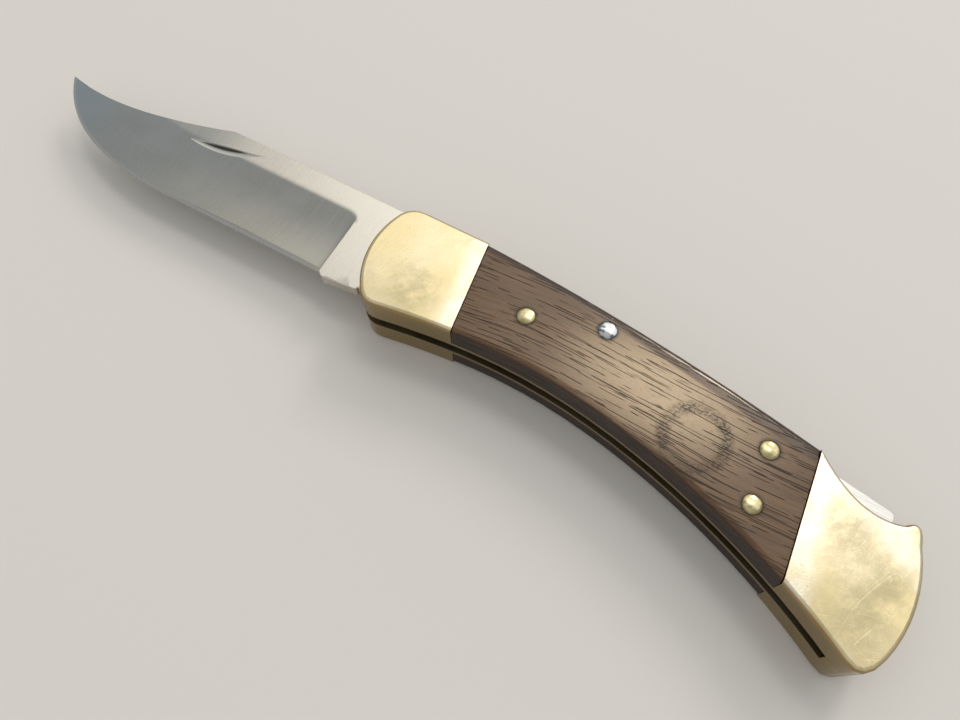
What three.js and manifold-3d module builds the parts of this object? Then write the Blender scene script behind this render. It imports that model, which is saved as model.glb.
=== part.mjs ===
// A folding hunting knife with a lock bar in its back, open, lying on its right side.
// Millimetres. The origin is on the blade pivot's axis, in the plane of the lower front bolster's face.
// +X runs to the butt, +Y to the knife's back, and +Z up, from the right side to the left (nick) side.
import * as THREE from 'three';
import { mergeVertices } from 'three/addons/utils/BufferGeometryUtils.js';
import Module from 'manifold-3d';

const wasm = await Module();
wasm.setup();

// The stack of plates, counted out from the mid-plane
const HANDLE_THICKNESS = 16.5;
const BLADE_STOCK = 3.05;
const SIDE_CLEARANCE = 0.1;
const LINER_THICKNESS = 0.9;
const SCALE_DROP = 0.4;

// The handle's outline; its length follows from the blade's, which it has to cover when closed
const BUTT_BEYOND_TIP = 6.05;
const FRONT_REACH = 11.25;
const FRONT_RADIUS = 19.75;
const FRONT_ARC_RISE = 2;
const FRONT_ARC_TOP = 10;
const FRONT_ARC_BOTTOM = -10.4;
const BACK_HEIGHT = 12.8;
const BACK_CORNER = 3.6;
const BACK_FALL_START = 11;
const BACK_FALL_SLOPE = 0.045;
const BELLY_DEPTH = 12.3;
const BELLY_CORNER = 2.5;
const WAIST_X = 26;
const WAIST_DEPTH = 8.85;
const WAIST_SLOPE = 0.012;
const WAIST_PULL = 28;
const BELLY_END_GAP = 8.1;
const BELLY_END_Y = -30.3;
const BELLY_END_SLOPE = 0.578;
const BELLY_END_PULL = 20.4;
const TOE_CORNER = 4.15;
const BUTT_RADIUS = 29.6;
const BUTT_ARC_DEPTH = 16.5;
const BUTT_ARC_TOP = -5;
const BUTT_ARC_BOTTOM = -26.7;
const HORN_PEAK_GAP = 3.3;
const HORN_PEAK_Y = 0.4;
const HORN_FRONT_GAP = 6.2;
const HORN_FRONT_Y = -2.7;
const SCOOP_REAR_PULL_GAP = 11;
const SCOOP_REAR_PULL_Y = -4.4;
const SCOOP_FRONT_PULL_GAP = 17;
const SCOOP_FRONT_PULL_Y = -3;
const SCOOP_LENGTH = 24.4;
const SCOOP_START_Y = 3.8;
const BOLSTER_ROUNDING = 1;
const SCALE_ROUNDING = 1.7;

// The joints between the bolsters and the wooden scales
const FRONT_JOINT_X = 13.05;
const FRONT_JOINT_LEAN = -0.148;
const REAR_JOINT_LEAN = -0.092;
const JOINT_GAP = 0.12;

// The blade
const BLADE_LENGTH = 95.25;
const BLADE_WIDTH = 21.9;
const SPINE_STEP = 1.1;
const SPINE_STEP_X = -7.6;
const CLIP_LENGTH = 47.25;
const CLIP_REAR_PULL_GAP = 31.5;
const CLIP_REAR_PULL_DROP = 5.3;
const CLIP_TIP_PULL_GAP = 15.5;
const CLIP_TIP_PULL_DROP = 8;
const TIP_DROP = 4.75;
const EDGE_CURVE_LENGTH = 44.5;
const EDGE_SAG_GAP = 20.5;
const EDGE_SAG = 0.5;
const EDGE_TIP_PULL = 7;
const EDGE_TIP_STEEPNESS = 1.58;
const GRIND_HEIGHT = 16.5;
const GRIND_WHEEL_RADIUS = 150;
const GRIND_TURN_AT_TIP = 50;
const GRIND_OVERRUN = 4;
const PLUNGE_X = -20.2;
const EDGE_FLAT = 0.08;
const BEVEL_WIDTH = 0.7;
const BEVEL_THICKNESS = 0.5;
const NICK_LENGTH = 19.3;
const NICK_WIDTH = 2.6;
const NICK_DEPTH = 0.9;
const NICK_LEAN = 11.6;
const NICK_CENTRE_X = -58.9;
const NICK_DROP = 4.7;
const NICK_OVERRUN = 0.4;
const CLOSE_ANGLE = 171;

// The tang and the lock bar's hook
const CAM_RADIUS = 9.2;
const CAM_START_ANGLE = 282;
const CAM_CLEARANCE = 0.2;
const NOTCH_DEPTH = 0.8;
const RELIEF_DEPTH = 1;
const RELIEF_END_ANGLE = 281;
const HOOK_FRONT_X = 1.2;
const HOOK_WIDTH = 3.2;
const HOOK_RELIEF = 1.45;
const HOOK_RELIEF_END_X = 7.5;
const NOTCH_FRONT_GAP = 0.3;
const NOTCH_REAR_GAP = 0.15;
const TANG_BOTTOM = 7.45;
const KICK_TIP_GAP = 1.3;
const KICK_DROP = 0.95;
const KICK_NOSE_LENGTH = 0.7;
const KICK_NOSE_RISE = 0.25;
const KICK_REAR_GAP = 0.95;
const KICK_REAR_DROP = 0.2;
const KICK_HEEL_LENGTH = 1.7;
const BACK_INSET = 0.1;
const KICK_CLEARANCE = 0.75;
const BAR_MIDDLE_GAP = 16;
const BAR_DEPTH_MIDDLE = 7.6;
const BAR_DEPTH_TAIL = 5.6;
const BAR_BOSS_RADIUS = 3.9;
const BAR_BOSS_FROM_ANGLE = 200;
const BAR_BOSS_TO_ANGLE = 290;
const BAR_TAIL_GAP = 6.4;
const BAR_TAIL_SLOPE = 0.135;
const BAR_TAIL_ROUNDING = 1.4;

// The spring and the brass piece that holds it at the butt
const SPRING_THICKNESS = 1.2;
const SPRING_FIT = 0.06;
const SPRING_GAP = 0.12;
const SPRING_REACH = 34.3;
const SPRING_ROOT_GAP = 12.6;
const SPRING_ROOT_PULL = 7.9;
const SPRING_TIP_PULL = 8.8;
const SPRING_TIP_DIP = 3.5;
const HOLDER_TOP = -7.6;
const HOLDER_TONGUE_GAP = 18.5;
const SPRING_ROOT_DEPTH = 2.15;
const HOLDER_TAIL_GAP = 1.2;
const TIP_CLEARANCE = 0.7;
const TIP_SWEEP = 6;

// The pins
const PIN_FACETS = 24;
const PIN_FIT = 0.05;
const PIN_DOME = 0.35;
const PIVOT_PIN_DIAMETER = 4.8;
const LOCK_PIN_DIAMETER = 4;
const RIVET_DIAMETER = 4;
const REAR_PIN_DIAMETER = 3;
const BOLSTER_SKIN = 0.4;
const LOCK_PIN_X = 42.1;
const LOCK_PIN_BELOW_BACK = 4.1;
const FRONT_RIVET_X = 26.1;
const FRONT_RIVET_Y = 1.25;
const REAR_RIVET_GAP = 32.8;
const LOWER_RIVET_SHIFT = 1;
const UPPER_RIVET_Y = -1.4;
const LOWER_RIVET_Y = -12.7;
const REAR_PIN_A_GAP = 8.2;
const REAR_PIN_A_Y = -13.5;
const REAR_PIN_B_GAP = 4.2;
const REAR_PIN_B_Y = -23;

// Steps in the curves
const EDGE_STEPS = 22;
const LONG_STEPS = 16;
const SHORT_STEPS = 8;
const CORNER_STEPS = 4;

// What follows from the sizes above
const MID = HANDLE_THICKNESS / 2;
const CHANNEL_HALF = BLADE_STOCK / 2 + SIDE_CLEARANCE;
const LINER_OUTER = CHANNEL_HALF + LINER_THICKNESS;
const SCALE_FACE = MID - SCALE_DROP;
const BUTT_X = FRONT_REACH + BLADE_LENGTH + BUTT_BEYOND_TIP;
const SPINE_Y = BACK_HEIGHT + SPINE_STEP;
const EDGE_Y = SPINE_Y - BLADE_WIDTH;
const TIP = new THREE.Vector2(-FRONT_REACH - BLADE_LENGTH, SPINE_Y - TIP_DROP);
const SCOOP_START = new THREE.Vector2(BUTT_X - SCOOP_LENGTH, SCOOP_START_Y);
const REAR_JOINT_X = SCOOP_START.x - REAR_JOINT_LEAN * SCOOP_START.y;
const BAR_TAIL_X = BUTT_X - BAR_TAIL_GAP;
const HOOK_REAR_X = HOOK_FRONT_X + HOOK_WIDTH;
const FAR = 2 * BUTT_X;

const { degToRad, radToDeg } = THREE.MathUtils;
const at = (x, y) => new THREE.Vector2(x, y);
const PIVOT = at(0, 0);

const onCircle = (radius, degrees, centre = PIVOT) => {
  const angle = degToRad(degrees);
  return at(centre.x + radius * Math.cos(angle), centre.y + radius * Math.sin(angle));
};

const turned = (point, degrees) => point.clone().rotateAround(PIVOT, degToRad(degrees));

function arc(centre, radius, from, to, steps) {
  const points = [];
  for (let i = 0; i <= steps; i++) {
    points.push(onCircle(radius, from + (to - from) * i / steps, centre));
  }
  return points;
}

function blend(from, corner, to, steps = CORNER_STEPS) {
  return new THREE.QuadraticBezierCurve(from, corner, to).getPoints(steps);
}

function sweep(from, pull1, pull2, to, steps = LONG_STEPS) {
  return new THREE.CubicBezierCurve(from, pull1, pull2, to).getPoints(steps);
}

// Joins runs of points into one outline, and leaves out points that repeat
function outline(...runs) {
  const apart = 0.01;
  const points = [];
  for (const point of runs.flat()) {
    const last = points[points.length - 1];
    if (!last || last.distanceTo(point) > apart) points.push(point);
  }
  if (points[0].distanceTo(points[points.length - 1]) < apart) points.pop();
  return points;
}

// The back of the handle, as a height over X: level, then falling ever faster to the thumb scoop,
// and past the scoop's start the straight top of the lock bar's tail
function backLine(x) {
  const run = SCOOP_START.x - BACK_FALL_START;
  const fall = (BACK_HEIGHT - SCOOP_START.y - BACK_FALL_SLOPE * run) / run ** 2;
  const u = Math.max(0, x - BACK_FALL_START);
  if (u <= run) return BACK_HEIGHT - BACK_FALL_SLOPE * u - fall * u ** 2;
  return SCOOP_START.y - BAR_TAIL_SLOPE * (x - SCOOP_START.x);
}

function backPoints(drop) {
  const points = [];
  for (let i = 0; i <= LONG_STEPS; i++) {
    const x = SCOOP_START.x + (BACK_FALL_START - SCOOP_START.x) * i / LONG_STEPS;
    points.push(at(x, backLine(x) - drop));
  }
  return points;
}

function handlePoints() {
  const frontCentre = at(FRONT_RADIUS - FRONT_REACH, FRONT_ARC_RISE);
  const frontX = (y) => frontCentre.x - Math.sqrt(FRONT_RADIUS ** 2 - (y - frontCentre.y) ** 2);
  const frontAngle = (y) => 180 - radToDeg(Math.asin((y - frontCentre.y) / FRONT_RADIUS));
  const topCorner = at(frontX(BACK_HEIGHT), BACK_HEIGHT);
  const bottomCorner = at(frontX(-BELLY_DEPTH), -BELLY_DEPTH);
  const waist = at(WAIST_X, -WAIST_DEPTH);
  const waistFront = at(WAIST_X / 2, waist.y - WAIST_SLOPE * WAIST_X / 2);
  const waistRear = at(WAIST_X + WAIST_PULL, waist.y + WAIST_SLOPE * WAIST_PULL);
  const bellyRun = bottomCorner.distanceTo(waistFront);
  const bellyStart = bottomCorner.clone().lerp(waistFront, BELLY_CORNER / bellyRun);
  const bellyEnd = at(BUTT_X - BELLY_END_GAP, BELLY_END_Y);
  const bellyPull = at(bellyEnd.x - BELLY_END_PULL, bellyEnd.y + BELLY_END_SLOPE * BELLY_END_PULL);
  const toe = at(bellyEnd.x + TOE_CORNER, bellyEnd.y - BELLY_END_SLOPE * TOE_CORNER);
  const buttCentre = at(BUTT_X - BUTT_RADIUS, -BUTT_ARC_DEPTH);
  const buttAngle = (y) => radToDeg(Math.asin((y - buttCentre.y) / BUTT_RADIUS));
  const buttTop = onCircle(BUTT_RADIUS, buttAngle(BUTT_ARC_TOP), buttCentre);
  const buttBottom = onCircle(BUTT_RADIUS, buttAngle(BUTT_ARC_BOTTOM), buttCentre);
  const hornFront = at(BUTT_X - HORN_FRONT_GAP, HORN_FRONT_Y);
  const scoopRear = at(BUTT_X - SCOOP_REAR_PULL_GAP, SCOOP_REAR_PULL_Y);
  const scoopFront = at(BUTT_X - SCOOP_FRONT_PULL_GAP, SCOOP_FRONT_PULL_Y);
  return outline(
    backPoints(0),
    blend(at(topCorner.x + BACK_CORNER, BACK_HEIGHT), topCorner, at(frontX(FRONT_ARC_TOP), FRONT_ARC_TOP)),
    arc(frontCentre, FRONT_RADIUS, frontAngle(FRONT_ARC_TOP), frontAngle(FRONT_ARC_BOTTOM), LONG_STEPS),
    blend(at(frontX(FRONT_ARC_BOTTOM), FRONT_ARC_BOTTOM), bottomCorner, bellyStart),
    blend(bellyStart, waistFront, waist, SHORT_STEPS),
    sweep(waist, waistRear, bellyPull, bellyEnd),
    blend(bellyEnd, toe, buttBottom),
    arc(buttCentre, BUTT_RADIUS, buttAngle(BUTT_ARC_BOTTOM), buttAngle(BUTT_ARC_TOP), SHORT_STEPS),
    blend(buttTop, at(BUTT_X - HORN_PEAK_GAP, HORN_PEAK_Y), hornFront, SHORT_STEPS),
    sweep(hornFront, scoopRear, scoopFront, SCOOP_START),
  );
}

function edgeCurve() {
  const start = at(TIP.x + EDGE_CURVE_LENGTH, EDGE_Y);
  const sag = at(TIP.x + EDGE_SAG_GAP, EDGE_Y - EDGE_SAG);
  const rise = at(TIP.x + EDGE_TIP_PULL, TIP.y - EDGE_TIP_STEEPNESS * EDGE_TIP_PULL);
  return new THREE.CubicBezierCurve(start, sag, rise, TIP);
}

// The arc of a circle about the pivot, above it, between two lines of constant X
function arcAbove(radius, fromX, toX) {
  const angle = (x) => radToDeg(Math.acos(x / radius));
  return arc(PIVOT, radius, angle(fromX), angle(toX), CORNER_STEPS);
}

// The heel of the blade that stands out under the ricasso, and stops on the lock bar when it closes
const KICK_TIP = at(PLUNGE_X + KICK_TIP_GAP, EDGE_Y - KICK_DROP);
const KICK_REAR = at(-FRONT_REACH - KICK_REAR_GAP, EDGE_Y - KICK_REAR_DROP);

function bladePoints() {
  const clipStart = at(TIP.x + CLIP_LENGTH, SPINE_Y);
  const clipRear = at(TIP.x + CLIP_REAR_PULL_GAP, SPINE_Y - CLIP_REAR_PULL_DROP);
  const clipTip = at(TIP.x + CLIP_TIP_PULL_GAP, SPINE_Y - CLIP_TIP_PULL_DROP);
  const tangBack = BACK_HEIGHT - BACK_INSET;
  const stepFoot = at(SPINE_STEP_X - SPINE_STEP / 2, tangBack);
  const notchFront = HOOK_FRONT_X - NOTCH_FRONT_GAP;
  const notchRear = HOOK_REAR_X + NOTCH_REAR_GAP;
  const notchRadius = CAM_RADIUS - NOTCH_DEPTH;
  const reliefRadius = CAM_RADIUS - RELIEF_DEPTH;
  const reliefStart = 180 + radToDeg(Math.asin(TANG_BOTTOM / reliefRadius));
  const camEnd = radToDeg(Math.acos(notchRear / CAM_RADIUS));
  const heel = at(KICK_REAR.x + KICK_HEEL_LENGTH, -TANG_BOTTOM);
  return outline(
    [at(notchFront, tangBack)],
    blend(at(SPINE_STEP_X, tangBack), stepFoot, at(SPINE_STEP_X - SPINE_STEP, SPINE_Y)),
    sweep(clipStart, clipRear, clipTip, TIP),
    edgeCurve().getPoints(EDGE_STEPS).reverse(),
    [at(PLUNGE_X, EDGE_Y), at(KICK_TIP.x - KICK_NOSE_LENGTH, KICK_TIP.y + KICK_NOSE_RISE), KICK_TIP],
    blend(KICK_REAR, at(heel.x, KICK_REAR.y), heel),
    arc(PIVOT, reliefRadius, reliefStart, RELIEF_END_ANGLE, CORNER_STEPS),
    arc(PIVOT, CAM_RADIUS, CAM_START_ANGLE, 360 + camEnd, EDGE_STEPS),
    arcAbove(notchRadius, notchRear, notchFront),
  );
}

const lockPin = () => at(LOCK_PIN_X, backLine(LOCK_PIN_X) - LOCK_PIN_BELOW_BACK);

// The lock bar's underside behind its pin: its depth under the back shrinks evenly to the tail
function barUnder(x) {
  const share = (x - LOCK_PIN_X - BAR_MIDDLE_GAP) / (BAR_TAIL_X - LOCK_PIN_X - BAR_MIDDLE_GAP);
  return at(x, backLine(x) - BAR_DEPTH_MIDDLE + (BAR_DEPTH_MIDDLE - BAR_DEPTH_TAIL) * share);
}

function lockBarPoints() {
  const lift = at(0, KICK_CLEARANCE);
  const tail = at(BAR_TAIL_X, backLine(BAR_TAIL_X) - BACK_INSET);
  const underside = [];
  for (let i = 0; i <= SHORT_STEPS; i++) {
    const middleX = LOCK_PIN_X + BAR_MIDDLE_GAP;
    underside.push(barUnder(middleX + (BAR_TAIL_X - middleX) * i / SHORT_STEPS));
  }
  return outline(
    backPoints(BACK_INSET),
    [at(HOOK_FRONT_X, BACK_HEIGHT - BACK_INSET)],
    arcAbove(CAM_RADIUS + CAM_CLEARANCE, HOOK_FRONT_X, HOOK_REAR_X),
    arcAbove(CAM_RADIUS + HOOK_RELIEF, HOOK_REAR_X, HOOK_RELIEF_END_X),
    [turned(KICK_REAR, CLOSE_ANGLE).add(lift), turned(KICK_TIP, CLOSE_ANGLE).add(lift)],
    arc(lockPin(), BAR_BOSS_RADIUS, BAR_BOSS_FROM_ANGLE, BAR_BOSS_TO_ANGLE, SHORT_STEPS),
    underside,
    blend(at(tail.x, tail.y - BAR_TAIL_ROUNDING), tail, at(tail.x - BAR_TAIL_ROUNDING, tail.y)),
  );
}

// The middle line of the leaf spring, from its root in the holder to its tip under the lock bar
function springLine() {
  const root = at(BUTT_X - SPRING_ROOT_GAP, HOLDER_TOP - SPRING_ROOT_DEPTH);
  const tip = barUnder(BUTT_X - SPRING_REACH);
  tip.y -= SPRING_GAP + SPRING_THICKNESS / 2;
  const rootPull = at(root.x - SPRING_ROOT_PULL, root.y);
  const tipPull = at(tip.x + SPRING_TIP_PULL, tip.y - SPRING_TIP_DIP);
  return new THREE.CubicBezierCurve(root, rootPull, tipPull, tip);
}

// The direction square to a curve, on the left of its run
const leftOf = (curve, share) => curve.getTangent(share).rotateAround(PIVOT, Math.PI / 2);

// A band of the given half width along a curve
function band(curve, halfWidth) {
  const left = [];
  const right = [];
  for (let i = 0; i <= LONG_STEPS; i++) {
    const middle = curve.getPoint(i / LONG_STEPS);
    const side = leftOf(curve, i / LONG_STEPS).multiplyScalar(halfWidth);
    left.push(middle.clone().add(side));
    right.push(middle.clone().sub(side));
  }
  return left.concat(right.reverse());
}

// The region at the butt that the spring holder may fill: behind the lock bar's tail and under it
function holderRegion() {
  const wallX = BAR_TAIL_X + HOLDER_TAIL_GAP;
  const tongueX = BUTT_X - HOLDER_TONGUE_GAP;
  return [at(FAR, FAR), at(wallX, FAR), at(wallX, HOLDER_TOP), at(tongueX, HOLDER_TOP),
    at(tongueX, -FAR), at(FAR, -FAR)];
}

// The region that the closing blade's edge and tip sweep, with a clearance
function sweptRegion() {
  const edge = edgeCurve();
  const closedEdge = [];
  for (let i = 0; i <= LONG_STEPS; i++) {
    const share = i / LONG_STEPS;
    const point = edge.getPoint(share).addScaledVector(leftOf(edge, share), TIP_CLEARANCE);
    closedEdge.push(turned(point, CLOSE_ANGLE));
  }
  const tipRadius = TIP.length() + TIP_CLEARANCE;
  const tipAngle = radToDeg(turned(TIP, CLOSE_ANGLE).angle());
  const swung = arc(PIVOT, tipRadius, tipAngle, tipAngle - TIP_SWEEP, CORNER_STEPS);
  return outline(closedEdge, swung, [at(swung[CORNER_STEPS].x, -FAR), at(closedEdge[0].x, -FAR)]);
}

function shapeOf(points) {
  return new THREE.Shape(THREE.ShapeUtils.isClockWise(points) ? points.slice().reverse() : points);
}

function solidOf(geometry) {
  const plain = geometry.clone();
  for (const name of Object.keys(plain.attributes)) {
    if (name !== 'position') plain.deleteAttribute(name);
  }
  const merged = mergeVertices(plain, 1e-5);
  return new wasm.Manifold(new wasm.Mesh({
    numProp: 3,
    vertProperties: Float32Array.from(merged.attributes.position.array),
    triVerts: Uint32Array.from(merged.index.array),
  }));
}

function geometryOf(solid) {
  const mesh = solid.getMesh();
  const geometry = new THREE.BufferGeometry();
  geometry.setAttribute('position', new THREE.BufferAttribute(Float32Array.from(mesh.vertProperties), 3));
  geometry.setIndex(new THREE.BufferAttribute(Uint32Array.from(mesh.triVerts), 1));
  geometry.computeVertexNormals();
  return geometry;
}

// A plate between two heights
function plate(points, low, high) {
  const geometry = new THREE.ExtrudeGeometry(shapeOf(points), { depth: high - low, bevelEnabled: false });
  return solidOf(geometry.translate(0, 0, low));
}

// The radius of the round corner that three neighbouring points lie on, or Infinity where they bend inwards
function cornerRadius(before, point, after) {
  const cross = (point.x - before.x) * (after.y - point.y) - (point.y - before.y) * (after.x - point.x);
  if (cross <= 0) return Infinity;
  return before.distanceTo(point) * point.distanceTo(after) * before.distanceTo(after) / (2 * cross);
}

// Moves each point of an outline inwards, square to its neighbours' line, but less near a tight corner
function inset(points, distance) {
  const usable = 0.8;
  const neighbours = 3;
  const near = (i, step) => points[(i + step + points.length) % points.length];
  return points.map((point, i) => {
    const out = near(i, 1).clone().sub(near(i, -1)).normalize().rotateAround(PIVOT, -Math.PI / 2);
    let reach = distance;
    for (let j = -neighbours; j <= neighbours; j++) {
      const radius = cornerRadius(near(i, j - 1), near(i, j), near(i, j + 1));
      reach = Math.min(reach, usable * radius + point.distanceTo(near(i, j)) / neighbours);
    }
    return point.clone().addScaledVector(out, -reach);
  });
}

// A plate whose top edge is rounded all along its outline
function roundedPlate(outlinePoints, low, high, rounding) {
  const points = shapeOf(outlinePoints).getPoints();
  const rings = [{ z: low, ring: points }];
  for (let i = 0; i <= CORNER_STEPS; i++) {
    const angle = Math.PI / 2 * i / CORNER_STEPS;
    const ring = inset(points, rounding * (1 - Math.cos(angle)));
    rings.push({ z: high - rounding * (1 - Math.sin(angle)), ring });
  }
  const count = points.length;
  const vertices = rings.flatMap(({ z, ring }) => ring.flatMap((point) => [point.x, point.y, z]));
  const index = [];
  for (let r = 0; r < rings.length - 1; r++) {
    for (let i = 0; i < count; i++) {
      const next = (i + 1) % count;
      const low1 = r * count + i;
      const low2 = r * count + next;
      index.push(low1, low2, low2 + count, low1, low2 + count, low1 + count);
    }
  }
  const last = (rings.length - 1) * count;
  for (const [a, b, c] of THREE.ShapeUtils.triangulateShape(points, [])) index.push(c, b, a);
  for (const [a, b, c] of THREE.ShapeUtils.triangulateShape(rings[rings.length - 1].ring, [])) {
    index.push(last + a, last + b, last + c);
  }
  const geometry = new THREE.BufferGeometry();
  geometry.setAttribute('position', new THREE.Float32BufferAttribute(vertices, 3));
  geometry.setIndex(index);
  return solidOf(outward(geometry));
}

// The cutter of a round hole, in plan about a centre
function bore(centre, diameter, low = -MID, high = MID) {
  return plate(arc(centre, diameter / 2 + PIN_FIT, 0, 360, PIN_FACETS).slice(0, -1), low, high);
}

// A band of the plan between two leaning lines, each given by its X at Y = 0 and its lean
function between(leftX, leftLean, rightX, rightLean, low, high) {
  const corner = (x, lean, y) => at(x + lean * y, y);
  return plate([corner(leftX, leftLean, -FAR), corner(rightX, rightLean, -FAR),
    corner(rightX, rightLean, FAR), corner(leftX, leftLean, FAR)], low, high);
}

// Places of the pins in plan
const rivets = () => ({
  front: at(FRONT_RIVET_X, FRONT_RIVET_Y),
  rear_upper: at(BUTT_X - REAR_RIVET_GAP, UPPER_RIVET_Y),
  rear_lower: at(BUTT_X - REAR_RIVET_GAP + LOWER_RIVET_SHIFT, LOWER_RIVET_Y),
});
const rearPins = () => ({
  upper: at(BUTT_X - REAR_PIN_A_GAP, REAR_PIN_A_Y),
  lower: at(BUTT_X - REAR_PIN_B_GAP, REAR_PIN_B_Y),
});

// The pivot and the rear pins end in blind bores, a thin skin under the bolsters' faces
const BLIND_END = MID - BOLSTER_SKIN;

function frontBolster() {
  const kept = between(-FAR, 0, FRONT_JOINT_X - JOINT_GAP / 2, FRONT_JOINT_LEAN, 0, MID);
  return roundedPlate(handlePoints(), LINER_OUTER, MID, BOLSTER_ROUNDING)
    .intersect(kept)
    .subtract(bore(PIVOT, PIVOT_PIN_DIAMETER, 0, BLIND_END));
}

function rearBolster() {
  const kept = between(REAR_JOINT_X + JOINT_GAP / 2, REAR_JOINT_LEAN, FAR, 0, 0, MID);
  let solid = roundedPlate(handlePoints(), LINER_OUTER, MID, BOLSTER_ROUNDING).intersect(kept);
  for (const pin of Object.values(rearPins())) {
    solid = solid.subtract(bore(pin, REAR_PIN_DIAMETER, 0, BLIND_END));
  }
  return solid;
}

function scale() {
  const kept = between(FRONT_JOINT_X + JOINT_GAP / 2, FRONT_JOINT_LEAN,
    REAR_JOINT_X - JOINT_GAP / 2, REAR_JOINT_LEAN, 0, MID);
  let solid = roundedPlate(handlePoints(), LINER_OUTER, SCALE_FACE, SCALE_ROUNDING).intersect(kept);
  for (const rivet of Object.values(rivets())) solid = solid.subtract(bore(rivet, RIVET_DIAMETER));
  return solid.subtract(bore(lockPin(), LOCK_PIN_DIAMETER));
}

function liner() {
  let solid = plate(handlePoints(), CHANNEL_HALF, LINER_OUTER)
    .subtract(bore(PIVOT, PIVOT_PIN_DIAMETER))
    .subtract(bore(lockPin(), LOCK_PIN_DIAMETER));
  for (const rivet of Object.values(rivets())) solid = solid.subtract(bore(rivet, RIVET_DIAMETER));
  for (const pin of Object.values(rearPins())) solid = solid.subtract(bore(pin, REAR_PIN_DIAMETER));
  return solid;
}

// Half the blade's thickness at a distance from the edge: a short bevel, then the hollow of the wheel
function grindHalf(distance) {
  const atEdge = EDGE_FLAT / 2;
  const atBevel = BEVEL_THICKNESS / 2;
  const rise = BLADE_STOCK / 2 - atBevel;
  const run = GRIND_HEIGHT - BEVEL_WIDTH;
  const along = distance - BEVEL_WIDTH;
  if (distance <= 0) return atEdge;
  if (along <= 0) return atEdge + (atBevel - atEdge) * distance / BEVEL_WIDTH;
  if (along <= run) return atBevel + rise * along / run - along * (run - along) / (2 * GRIND_WHEEL_RADIUS);
  return BLADE_STOCK / 2 + (along - run) * (rise / run + run / (2 * GRIND_WHEEL_RADIUS));
}

// What the grinding wheel takes off one side: a closed block over the hollow, from plunge to tip,
// whose cross lines turn steadily from square to the straight edge to leaning at the tip
function grindBlock() {
  const edge = edgeCurve();
  const stations = [{ foot: at(PLUNGE_X, EDGE_Y), degrees: 90 }];
  for (let i = 0; i <= LONG_STEPS; i++) {
    stations.push({ foot: edge.getPoint(i / LONG_STEPS), degrees: 90 - GRIND_TURN_AT_TIP * i / LONG_STEPS });
  }
  const past = TIP.clone().addScaledVector(edge.getTangent(1), GRIND_OVERRUN);
  stations.push({ foot: past, degrees: 90 - GRIND_TURN_AT_TIP });
  const distances = [-GRIND_OVERRUN, 0];
  for (let i = 0; i <= SHORT_STEPS; i++) {
    distances.push(BEVEL_WIDTH + (GRIND_HEIGHT - BEVEL_WIDTH) * i / SHORT_STEPS);
  }
  distances.push(GRIND_HEIGHT + GRIND_OVERRUN);
  const vertices = [];
  for (const hollow of [true, false]) {
    for (const { foot, degrees } of stations) {
      for (const distance of distances) {
        const point = onCircle(distance, degrees, foot);
        vertices.push(point.x, point.y, hollow ? grindHalf(distance) : BLADE_STOCK);
      }
    }
  }
  return solidFromGrid(vertices, stations.length, distances.length);
}

// Two grids of points, one over the other, closed round their sides into one solid
function solidFromGrid(vertices, rows, columns) {
  const offset = rows * columns;
  const index = [];
  const quad = (a, b, c, d) => index.push(a, b, c, a, c, d);
  const id = (row, column, upper) => (upper ? offset : 0) + row * columns + column;
  for (let r = 0; r < rows - 1; r++) {
    for (let c = 0; c < columns - 1; c++) {
      quad(id(r, c, 0), id(r, c + 1, 0), id(r + 1, c + 1, 0), id(r + 1, c, 0));
      quad(id(r, c, 1), id(r + 1, c, 1), id(r + 1, c + 1, 1), id(r, c + 1, 1));
    }
    quad(id(r, 0, 0), id(r + 1, 0, 0), id(r + 1, 0, 1), id(r, 0, 1));
    quad(id(r + 1, columns - 1, 0), id(r, columns - 1, 0), id(r, columns - 1, 1), id(r + 1, columns - 1, 1));
  }
  for (let c = 0; c < columns - 1; c++) {
    quad(id(0, c + 1, 0), id(0, c, 0), id(0, c, 1), id(0, c + 1, 1));
    quad(id(rows - 1, c, 0), id(rows - 1, c + 1, 0), id(rows - 1, c + 1, 1), id(rows - 1, c, 1));
  }
  const geometry = new THREE.BufferGeometry();
  geometry.setAttribute('position', new THREE.Float32BufferAttribute(vertices, 3));
  geometry.setIndex(index);
  return solidOf(outward(geometry));
}

// Turns every face round when they point into the solid
function outward(geometry) {
  const p = geometry.attributes.position;
  const index = geometry.index.array;
  const [a, b, c] = [new THREE.Vector3(), new THREE.Vector3(), new THREE.Vector3()];
  let volume = 0;
  for (let i = 0; i < index.length; i += 3) {
    a.fromBufferAttribute(p, index[i]);
    b.fromBufferAttribute(p, index[i + 1]);
    c.fromBufferAttribute(p, index[i + 2]);
    volume += a.dot(b.cross(c));
  }
  if (volume < 0) {
    for (let i = 0; i < index.length; i += 3) [index[i], index[i + 1]] = [index[i + 1], index[i]];
  }
  return geometry;
}

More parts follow.
